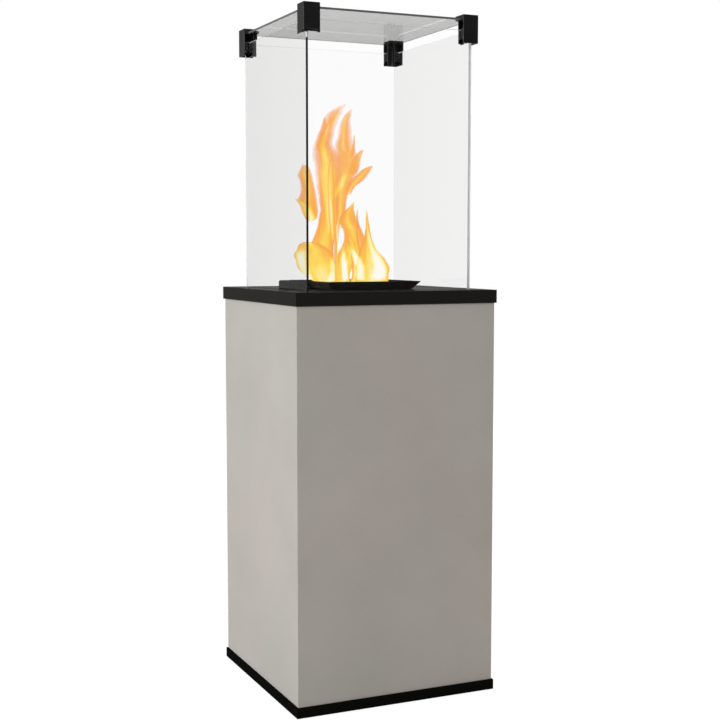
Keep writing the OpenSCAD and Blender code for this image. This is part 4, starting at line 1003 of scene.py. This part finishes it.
class HEATER_OT_glass(HeaterOperator, bpy.types.Operator):
    """Make the panes and lid clear glass, with ground edges painted dark as painted shade and pale
    and glowing as painted light
    """
    bl_idname = "heater.glass"
    bl_label = "Glass chamber"

    def execute(self, context):
        for node in ("pane_front", "pane_rear", "pane_left", "pane_right", "glass_lid"):
            mesh = eased_mesh(node, sizes().glass_edge, 1)
            low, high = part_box(node)
            thin = min(range(3), key=lambda i: high[i] - low[i])
            along = (Vector((0, 1, 0)), Vector((1, 0, 0)), Vector())[thin]
            if thin != 2:
                cut_faces(mesh, UP, NEAR_EDGE_Z, GRIPPED_Z)
                cut_faces(mesh, along, GRIPPED_REACH, -GRIPPED_REACH)
            paint(mesh, *(finish(name) for name in PANE_FINISHES))
            for face in mesh.polygons:
                face.material_index = PANE_FINISHES.index(
                    self.finish_name(face, node, thin, along))
            stand_in(node, mesh)
        refinish("pane_seals")
        liners = near_clip_trimmed(eased_mesh("clip_liners", LINER_EDGE, 1))
        stand_in("clip_liners", paint(liners, finish_for("clip_liners")))
        return {"FINISHED"}

    def finish_name(self, face, node, thin, along):
        """The finish of one face: clear, or that of a ground edge in the painted shade and painted
        light that the photograph has.
        """
        spot, normal = face.center, face.normal
        left, front = spot.x < 0, spot.y < 0
        # Glass inside the clips is painted dark, as painted shade
        if abs(along.dot(spot)) > GRIPPED_REACH and spot.z > GRIPPED_Z:
            return "edge_near_painted_shade"
        if abs(normal[thin]) > FACING:
            return "clear_glass"
        # The lid's edges take the darker tone, as painted shade
        if thin == 2:
            return "edge_lid_painted_shade"
        if abs(normal.z) > 0.5:
            # Top edges are painted light: a faint painted glow on the front and left panes, a
            # stronger one on the rear and right
            top = "edge_top_painted_light" if node in ("pane_front", "pane_left") else "edge_lit_painted_glow"
            return top if normal.z > 0 else "clear_glass"
        # The near corner's edges are painted dark low down, as painted shade
        if left and front:
            return "edge_near_painted_shade" if spot.z < NEAR_EDGE_Z else "edge_pale"
        return "edge_pale" if (thin == 1 if left else front) else "clear_glass"


class HEATER_OT_clips(HeaterOperator, bpy.types.Operator):
    """Round the four corner clips that hold the panes and lid"""
    bl_idname = "heater.clips"
    bl_label = "Corner clips"

    def execute(self, context):
        ease(CLIP_EDGE, "clip_front_right", "clip_rear_left", "clip_rear_right")
        near = near_clip_trimmed(eased_mesh("clip_front_left", CLIP_EDGE))
        stand_in("clip_front_left", paint(near, finish_for("clip_front_left")))
        return {"FINISHED"}


class HEATER_OT_burner(HeaterOperator, bpy.types.Operator):
    """Finish the flared tray, pan, ported loop, mixing tube, nozzle and supply pipe"""
    bl_idname = "heater.burner"
    bl_label = "Burner"

    def execute(self, context):
        ease(sizes().sheet_edge * SMALL, "burner_tray")
        ease(sizes().cast_edge * SMALL, "burner_pan", "burner_head", "venturi", "injector")
        start, end = (60, 145, 738), (10, 0, 698)
        lay_tube("supply_pipe_bent", "supply_pipe", sizes().pipe_radius, 20, [
            start, moved(start, 0, -15, 0), between(start, end, (0, 0.31, 0.12)),
            between(start, end, (0.16, 0.72, 1.02)), moved(end, 30, 4, 0), moved(end, 12, 0, 0),
            end,
        ])
        half, count = 0.067, 9
        ports = []      # along the four sides of the loop
        for i in range(count):
            at = -half + (i + 0.5) * (2 * half / count)
            for side in (-half, half):
                ports += [(at, side, PORT_Z), (side, at, PORT_Z)]
        mesh = repeated_mesh(collar_tree, "port_collars", finish("stainless_sheet"), ports)
        add_piece("port_collars", mesh, "column")
        return {"FINISHED"}


class HEATER_OT_pilot(HeaterOperator, bpy.types.Operator):
    """Finish the pilot group beside the tray, with its tube and leads"""
    bl_idname = "heater.pilot"
    bl_label = "Pilot group"

    def execute(self, context):
        ease(sizes().sheet_edge * SMALL, "pilot_cover")
        ease(sizes().cast_edge * FINE, "pilot_burner")
        refinish("ignition_electrode", "thermocouple")
        thin, sides = sizes().capillary_radius, 14
        start, end = (-119.5, 34, 780.5), (42, 145, 742)
        lay_tube("pilot_tube_bent", "pilot_tube", thin, sides, [
            start, moved(start, 0, 0, -12), between(start, end, (0, 0.14, 0.88)),
            between(start, end, (0.12, 0.46, 1)), between(start, end, (0.6, 0.76, 1)),
            moved(end, -6, -25, 0), moved(end, 0, -10, 0), end,
        ])
        start, end = (-119.5, 22, 780.5), (-60, 150, 730)
        lay_tube("ignition_lead_bent", "ignition_lead", thin, sides, [
            start, moved(start, 0, 0, -12), between(start, end, (-0.11, 0.13, 0.79)),
            between(start, end, (-0.25, 0.49, 1.04)), between(start, end, (0.19, 0.79, 1.04)),
            moved(end, -10, -18, 0), moved(end, 0, -8, 0), end,
        ])
        return {"FINISHED"}


class HEATER_OT_controls(HeaterOperator, bpy.types.Operator):
    """Finish the control panel, valve, igniter and knob with its grips"""
    bl_idname = "heater.controls"
    bl_label = "Controls"

    def execute(self, context):
        ease(sizes().sheet_edge * THIN, "control_fascia")
        ease(sizes().cast_edge, "gas_valve")
        ease(sizes().cast_edge * SMALL, "piezo_igniter", "igniter_button")
        refinish("valve_spindle")
        low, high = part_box("control_knob")
        centre = (low + high) / 2
        self.mark_knob(centre, high)
        length, bar_radius = 0.0075, 0.0006
        mesh = repeated_mesh(
            bar_ring_tree, "knob_grips", finish("knob_plastic"),
            [(centre.x, low.y + 0.001 + length / 2, centre.z)], axes=[(0, 1, 0)],
            Count=sizes().knob_grips, Circle_Radius=(high.x - low.x) / 2 - bar_radius,
            Bar_Radius=bar_radius, Bar_Length=length,
        )
        add_piece("knob_grips", mesh, "knob")
        return {"FINISHED"}

    def mark_knob(self, centre, high):
        """Gives the knob a pale pointer line on the upper half of its face."""
        mesh = eased_mesh("control_knob", sizes().cast_edge * SMALL)
        half, radius = 0.0008, high.x - centre.x
        foot, head = centre.z + radius * 0.25, centre.z + radius * 0.85
        cut_faces(mesh, Vector((1, 0, 0)), centre.x - half, centre.x + half)
        cut_faces(mesh, UP, foot, head)
        paint(mesh, finish_for("control_knob"), finish("knob_line"))
        for face in mesh.polygons:
            spot = face.center
            face.material_index = int(face.normal.y > FACING and abs(spot.x - centre.x) < half
                                      and foot < spot.z < head)
        stand_in("control_knob", mesh)


class HEATER_OT_bottle(HeaterOperator, bpy.types.Operator):
    """Finish the gas bottle, its valve and wheel, the regulator and the hose"""
    bl_idname = "heater.bottle"
    bl_label = "Gas bottle and hose"

    def execute(self, context):
        ease(BOTTLE_EDGE, "gas_bottle")
        ease(sizes().cast_edge, "bottle_valve", "handwheel", "regulator", "hose_clip")
        refinish("hose_grommet")
        start, end = (-92, 40, 567.5), (12, 160, 706)
        foot, head = (-120, 165, 640), (-120, 165, 676)
        lay_tube("gas_hose_bent", "gas_hose", sizes().hose_radius, 24, [
            start, moved(start, 0, 20, 0), moved(start, -10, 60, 10), moved(foot, 0, 0, -10),
            moved(foot, 0, 0, 10), head, moved(head, 0, 0, 10),
            between(head, end, (0.19, 0.6, 0.97)), between(head, end, (0.53, 1, 1)),
            moved(end, -20, 0, 0), end,
        ])
        return {"FINISHED"}


class HEATER_OT_door(HeaterOperator, bpy.types.Operator):
    """Finish the louvred service door, its seal, pins, bushes and lock"""
    bl_idname = "heater.door"
    bl_label = "Service door"

    def execute(self, context):
        ease(sizes().sheet_edge * THIN, "rear_door")
        ease(sizes().cast_edge * SMALL, "hinge_pins", "lock_housing", "door_lock", "hinge_bushes")
        refinish("door_seal")
        return {"FINISHED"}


class HEATER_OT_screws(HeaterOperator, bpy.types.Operator):
    """Set the screws of the frame, control panel and burner tray"""
    bl_idname = "heater.screws"
    bl_label = "Screws"

    def execute(self, context):
        mm, sides = 0.001, (-1, 1)
        inner, seat, foot = 188 * mm, 198.5 * mm, 171.5 * mm
        panel, turned = [], []
        for z in (82.5 * mm, 397.75 * mm, 713 * mm):
            for s in sides:
                panel += [(s * inner, -seat, z), (s * seat, -inner, z),
                          (s * seat, 172.5 * mm, z)]
                turned += [(0, 1, 0), (-s, 0, 0), (-s, 0, 0)]
        self.set_screws("panel_screws", "frame_screws", panel, turned, 0.006)
        feet = [(x * foot, y * foot, 9 * mm) for x in sides for y in sides]
        self.set_screws("foot_screws", "frame_screws", feet, [(0, 0, -1)] * 4, 0.0175)
        nuts = [(x, y, 22.5 * mm) for x, y, _ in feet]
        stand_in("frame_screws", repeated_mesh(
            nut_tree, "foot_nuts", finish_for("frame_screws"), nuts), "foot_nuts")
        cover = [(s * inner, 187 * mm, z * mm) for s in sides for z in (702, 737)]
        self.set_screws("fascia_screws", "cover_screws", cover, [(0, 1, 0)] * 4, 0.007)
        tray = [(s * 83.1 * mm, t * 47.7 * mm, 801 * mm) for s in sides for t in sides]
        self.set_screws("tray_screws", "cover_screws", tray, [(0, 0, 1)] * 4, 0.0075,
                        Head_Radius=0.0024, Head_Height=0.0014, Socket_Radius=0.0009,
                        Shank_Radius=0.0015)
        return {"FINISHED"}

    def set_screws(self, name, node, points, axes, length, **more):
        stand_in(node, repeated_mesh(
            screw_tree, name, finish_for(node), points, axes=axes, Shank_Length=length, **more,
        ), name)


# Flames: each tongue is how far it stands back at its foot and at its tip, how far it turns
# in degrees, and its outline as (height, left side, right side), in millimetres seen from the
# front of the photograph
TONGUES = [
    (-34, -20, -8, [
        (0, -78, -36), (8, -91, -37), (22, -106, -38), (35, -114, -39), (46, -119, -40),
        (55, -122, -43), (65, -117, -50), (75, -112, -66), (82, -100, -90)]),
    (6, 2, 6, [
        (0, -70, -40), (33, -82, -40), (65, -90, -43), (86, -86, -40), (113, -76, -36),
        (140, -71, -31), (167, -74, -30), (193, -78, -26), (220, -82, -23), (240, -84, -24),
        (260, -86, -32), (276, -83, -42), (300, -73, -38), (318, -66, -32), (332, -60, -27),
        (346, -46, -21), (358, -22, -15)]),
    (10, 6, -12, [
        (262, -82, -58), (284, -79, -56), (304, -71, -56), (318, -66, -56), (331, -61, -59)]),
    (20, 0, -14, [
        (72, -42, -33), (113, -42, -29), (140, -40, -19), (167, -42, -14), (193, -41, -7),
        (214, -42, 4), (234, -43, 11), (248, -44, 10), (262, -44, 6), (276, -43, 0),
        (300, -35, -5), (322, -29, -7), (336, -20, -5), (348, -6, -2)]),
    (22, 8, 14, [
        (214, -16, 4), (232, -10, 11), (248, -4, 14), (258, 4, 17), (266, 15, 20)]),
    (30, 10, 22, [
        (176, -24, -6), (192, -20, 2), (206, -12, 22), (216, 2, 30), (226, 14, 36),
        (234, 34, 40)]),
    (24, 12, -20, [
        (250, -14, 0), (266, -8, 1), (282, -4, 1), (296, -2, 0)]),
    (-22, -30, -12, [
        (121, -92, -86), (128, -98, -74), (140, -104, -71), (153, -108, -72), (163, -113, -73),
        (180, -107, -76), (200, -108, -81), (214, -112, -84), (226, -106, -88),
        (236, -102, -98)]),
    (-20, -34, 10, [
        (134, -88, -76), (146, -101, -80), (156, -109, -92), (166, -117, -112)]),
    (26, 8, 10, [
        (0, -36, -9), (18, -37, -9), (33, -38, -2), (50, -36, 12), (65, -32, 20),
        (86, -21, 21), (104, -24, 17), (113, -29, 13), (126, -33, 8), (140, -24, 1),
        (153, -10, -1), (162, -3, 1)]),
    (-40, -14, -8, [
        (0, 0, 67), (18, 2, 69), (33, 2, 68), (46, 5, 61), (65, 11, 45), (86, 17, 35),
        (100, 20, 32), (113, 22, 30), (128, 22, 27), (146, 23, 25)]),
    (-12, 4, 16, [
        (0, -10, 14), (14, -6, 12), (34, -6, 12), (56, -10, 10), (76, -14, 4), (92, -16, -8)]),
]
# Brighter streaks painted on the tongues, as (height, left side, right side)
STREAKS = [
    [
        (84, -47, -42), (99, -50, -41), (116, -53, -42), (141, -57, -44), (167, -61, -47),
        (193, -64, -49), (218, -66, -51), (243, -67, -53), (262, -66, -57), (276, -63, -61)],
    [
        (166, -46, -40), (180, -42, -31), (193, -35, -23), (207, -28, -18), (224, -17, -14)],
    [
        (118, -86, -73), (128, -93, -78), (138, -99, -84), (150, -107, -92), (160, -114, -102),
        (168, -118, -110)],
    [
        (4, -92, -82), (19, -104, -90), (33, -111, -95), (46, -116, -96), (60, -117, -97),
        (74, -110, -102)],
    [
        (2, -52, -38), (24, -47, -38), (38, -48, -39), (54, -50, -43)],
    [
        (6, 36, 65), (33, 40, 65), (54, 33, 54), (73, 28, 39), (92, 26, 32), (114, 23, 27)],
    [
        (4, 4, 18), (33, 2, 18), (49, -5, 11), (65, -12, -3), (82, -13, -10)],
    [
        (2, -22, -13), (19, -25, -15), (46, -28, -18), (74, -25, -21)],
]
# Tongues that stand across the others, so the fire has depth from the sides
CROSSING = [
    (0, 0, 88, [
        (0, -64, -16), (50, -68, -16), (110, -66, -22), (170, -72, -20), (220, -68, -28),
        (262, -45, -43)]),
    (0, 4, 74, [
        (0, -92, -52), (40, -96, -52), (84, -88, -56), (120, -78, -58), (148, -67, -65)]),
    (0, 6, 98, [
        (0, -10, 42), (40, -10, 38), (84, -10, 26), (118, -7, 15), (150, 3, 5)]),
]
# The picture plane of the photograph: its width and the way from the camera
ACROSS = Vector((0.9127, -0.4086, 0.0))
AWAY = Vector((0.4086, 0.9127, 0.0))


def streak_glow(streaks, across, up):
    """How far a point lies inside the bright streaks, from 0 to 1."""
    best = 0.0
    for path in streaks:
        lowest, highest = path[0][0], path[-1][0]
        for (z0, left0, right0), (z1, left1, right1) in zip(path, path[1:]):
            if not z0 <= up <= z1:
                continue
            share = (up - z0) / (z1 - z0)
            left = left0 + (left1 - left0) * share
            right = right0 + (right1 - right0) * share
            off = abs(2 * across - left - right) / (right - left)
            along = (up - lowest) / (highest - lowest)
            ends = min(1.0, 0.5 + along * 6, (1 - along) * 4)
            best = max(best, ends * max(0.0, min(1.0, 1.6 - 1.1 * off)))
    return best


def grow_tongue(work, layers, seed, foot, tip, turn, path, streaks):
    """Lofts one closed lens-shaped tongue with its rim, rise, level and streak map."""
    rim_layer, rise_layer, level_layer, glow_layer, uv_layer = layers
    sides, steps = 36, 7
    sway, lean, clearance = 2.2, 5, 0.0006
    height = sizes().flame_height
    scale = height / FLAME_HEIGHT
    route = [Vector(((left + right) / 2, up, (right - left) / 2)) for up, left, right in path]
    line = smooth_line(route, steps)
    turn = math.radians(turn)
    wide = (ACROSS * math.cos(turn) + AWAY * math.sin(turn)).normalized()
    flat = wide.cross(UP)
    rings, total = [], len(line) - 1
    for i, (across, up, half) in enumerate(line):
        share = i / total
        depth = foot + (tip - foot) * min(1.0, share * 1.2)
        wave = noise.noise(Vector((seed * 7.3, up * 0.021, 0.4)))
        centre = (ACROSS * (across + sway * wave * share) + AWAY * (depth + lean * wave)) / 1000
        centre.z = PORT_Z + clearance + up * scale / 1000
        half = max(half, 0.6) * (1 + 0.12 * noise.noise(Vector((seed, up * 0.05, 9.1)))) / 1000
        thick = half * 0.3
        ring = []
        for k in range(sides):
            angle = 2 * math.pi * k / sides
            place = centre + wide * half * math.cos(angle) + flat * thick * math.sin(angle)
            vert = work.verts.new(place)
            vert[rim_layer] = abs(math.cos(angle))
            vert[rise_layer] = share
            vert[glow_layer] = streak_glow(streaks, place.dot(ACROSS) * 1000, up)
            vert[level_layer] = max(0.0, (centre.z - PORT_Z)) / height
            ring.append((vert, 0.5 + 0.5 * math.cos(angle)))
        rings.append(ring)

    def cover(corners, shares):
        face = work.faces.new([vert for vert, _ in corners])
        face.smooth = True
        for loop, (_, round_way), share in zip(face.loops, corners, shares):
            loop[uv_layer].uv = (round_way + seed * 1.37, share * total / 42 + seed * 0.61)

    for i, (below, above) in enumerate(zip(rings, rings[1:])):
        low, high = i / total, (i + 1) / total
        for k in range(sides):
            n = (k + 1) % sides
            cover([below[k], below[n], above[n], above[k]], [low, low, high, high])
    cover(rings[0][::-1], [0.0] * sides)
    cover(rings[-1], [1.0] * sides)


def grow_fire(name, rows, streaks=()):
    """One piece of fire out of several tongues, with the streaks painted on them."""
    mesh = bpy.data.meshes.new(name)
    with editing(mesh) as work:
        layers = [work.verts.layers.float.new(key) for key in ("rim", "rise", "level", "glow")]
        layers.append(work.loops.layers.uv.new("UVMap"))
        for seed, row in enumerate(rows):
            grow_tongue(work, layers, seed + len(name), *row, streaks)
        bmesh.ops.recalc_face_normals(work, faces=work.faces[:])
    fire = add_piece(name, paint(mesh, finish("flame_glow")), "column")
    fire.visible_glossy = False
    fire.visible_diffuse = False


class HEATER_OT_flames(HeaterOperator, bpy.types.Operator):
    """Grow the fire over the burner ports"""
    bl_idname = "heater.flames"
    bl_label = "Flames"

    def execute(self, context):
        grow_fire("flames_front", TONGUES, STREAKS)
        grow_fire("flames_across", CROSSING)
        return {"FINISHED"}


def add_lamp(name, place, aim, watts, width, mirrored=False):
    """A square lamp that looks at a height on the axis, and that only mirrors may show."""
    data = bpy.data.lights.new(name, "AREA")
    data.shape = "SQUARE"
    data.size = width
    data.energy = watts
    lamp = put(name, data)
    lamp.visible_camera = False
    lamp.visible_transmission = False
    lamp.visible_glossy = mirrored
    lamp.location = place
    lamp.rotation_mode = "QUATERNION"
    lamp.rotation_quaternion = (UP * aim - Vector(place)).to_track_quat("-Z", "Y")
    return lamp


class HEATER_OT_studio(HeaterOperator, bpy.types.Operator):
    """Set the camera, the floor, the lamps and the white world"""
    bl_idname = "heater.studio"
    bl_label = "Studio"

    def execute(self, context):
        scene, light = context.scene, studio()
        self.camera(scene)
        self.floor()
        key = add_lamp("key_lamp", (-3.6, -0.7, 1.35), 0.55, light.key_watts, 2.8, True)
        key.data.color = (0.965, 1.0, 1.05)
        add_lamp("fill_lamp", (1.3, -3.8, 2.4), 0.8, light.fill_watts, 2.6)
        add_lamp("top_lamp", (0.2, 0.6, 4.0), 0.8, light.top_watts, 2.4)
        add_lamp("rear_lamp", (2.3, 3.3, 1.9), 0.6, light.rear_watts, 2.4)
        self.world(scene)
        scene.view_settings.view_transform = "Standard"
        scene.cycles.transparent_max_bounces = 32
        scene.cycles.caustics_reflective = False
        return {"FINISHED"}

    def camera(self, scene):
        data = bpy.data.cameras.new("camera")
        data.lens = studio().focal_length
        data.sensor_width = 36
        camera = put("camera", data)
        camera.location = (-1.07635, -2.43137, 0.87884)
        camera.rotation_euler = (math.radians(85.1305), 0, math.radians(-24.1165))
        scene.camera = camera

    def floor(self):
        """A matt floor that the camera, mirrors and glass see nearly white."""
        mesh = bpy.data.meshes.new("floor")
        with editing(mesh) as work:
            bmesh.ops.create_circle(
                work, cap_ends=True, segments=96, radius=studio().floor_radius)
        material, tree, surface = new_material("pale_floor")
        path = add_node(tree, "ShaderNodeLightPath").outputs
        seen = math_node(tree, "MAXIMUM", path["Is Camera Ray"], math_node(
            tree, "MAXIMUM", path["Is Glossy Ray"], path["Is Transmission Ray"]))
        seen = math_node(tree, "SUBTRACT", seen, path["Diffuse Depth"], clamp=True)
        matt = value_of(tree, "ShaderNodeBsdfDiffuse", {"Color": (0.82, 0.82, 0.82)})
        white = value_of(tree, "ShaderNodeEmission", {"Color": WHITE, "Strength": 1.17})
        both = value_of(tree, "ShaderNodeMixShader", {
            0: times(tree, seen, 0.8), 1: matt, 2: white})
        tree.links.new(both, surface)
        put("floor", paint(mesh, material))

    def world(self, scene):
        """White to the camera, a dim studio to mirrors and an even light to matt surfaces."""
        world = bpy.data.worlds.new("studio_world")
        world.use_nodes = True
        tree = world.node_tree
        tree.nodes.clear()
        surface = tree.nodes.new("ShaderNodeOutputWorld").inputs["Surface"]
        path = add_node(tree, "ShaderNodeLightPath").outputs
        place = add_node(tree, "ShaderNodeTexCoord").outputs["Generated"]
        way = add_node(tree, "ShaderNodeSeparateXYZ", {0: place}).outputs
        backward = math_node(tree, "ADD", times(tree, way["Y"], 0.85), times(tree, way["X"], -0.5))
        sheen = map_range(tree, backward, -0.8, 1.0, 0.07, 0.28, smooth=True)
        above = map_range(tree, way["Z"], 0.15, 0.7)
        sheen = math_node(tree, "MAXIMUM", sheen, times(tree, above, 0.5))
        below = map_range(tree, way["Z"], -0.1, -0.06)
        sheen = times(tree, sheen, map_range(tree, below, 0.0, 1.0, 0.82, 1.0))
        mirrored = math_node(tree, "MINIMUM", path["Glossy Depth"], 1.0)
        lit = math_node(tree, "MINIMUM", path["Diffuse Depth"], 1.0)
        seen = math_node(tree, "MAXIMUM", path["Is Camera Ray"], path["Is Transmission Ray"])
        level = value_of(tree, "ShaderNodeMix", {0: mirrored, 2: seen, 3: sheen})
        level = value_of(tree, "ShaderNodeMix", {0: lit, 2: level, 3: studio().ambient})
        light = value_of(tree, "ShaderNodeBackground", {"Color": WHITE, "Strength": level})
        tree.links.new(light, surface)
        scene.world = world


STEPS = (
    HEATER_OT_cladding, HEATER_OT_plates, HEATER_OT_chassis, HEATER_OT_glass, HEATER_OT_clips,
    HEATER_OT_burner, HEATER_OT_pilot, HEATER_OT_controls, HEATER_OT_bottle, HEATER_OT_door,
    HEATER_OT_screws, HEATER_OT_flames, HEATER_OT_studio,
)


class HEATER_PT_build(bpy.types.Panel):
    """Lists the build steps with their sizes and colours."""
    bl_label = "Gas patio heater"
    bl_idname = "HEATER_PT_build"
    bl_space_type = "VIEW_3D"
    bl_region_type = "UI"
    bl_category = "Heater"

    def draw(self, context):
        for step in STEPS:
            self.layout.operator(step.bl_idname)
        for group in (sizes(), colours(), studio()):
            box = self.layout.box()
            for key in group.__annotations__:
                box.prop(group, key)


CLASSES = (HeaterSizes, HeaterColours, HeaterStudio, *STEPS, HEATER_PT_build)


def register():
    for cls in CLASSES:
        bpy.utils.register_class(cls)
    bpy.types.Scene.heater_sizes = PointerProperty(type=HeaterSizes)
    bpy.types.Scene.heater_colours = PointerProperty(type=HeaterColours)
    bpy.types.Scene.heater_studio = PointerProperty(type=HeaterStudio)


def unregister():
    del bpy.types.Scene.heater_studio
    del bpy.types.Scene.heater_colours
    del bpy.types.Scene.heater_sizes
    for cls in reversed(CLASSES):
        bpy.utils.unregister_class(cls)


def main():
    register()
    for step in STEPS:
        group, name = step.bl_idname.split(".")
        getattr(getattr(bpy.ops, group), name)()


if __name__ == "__main__":
    main()
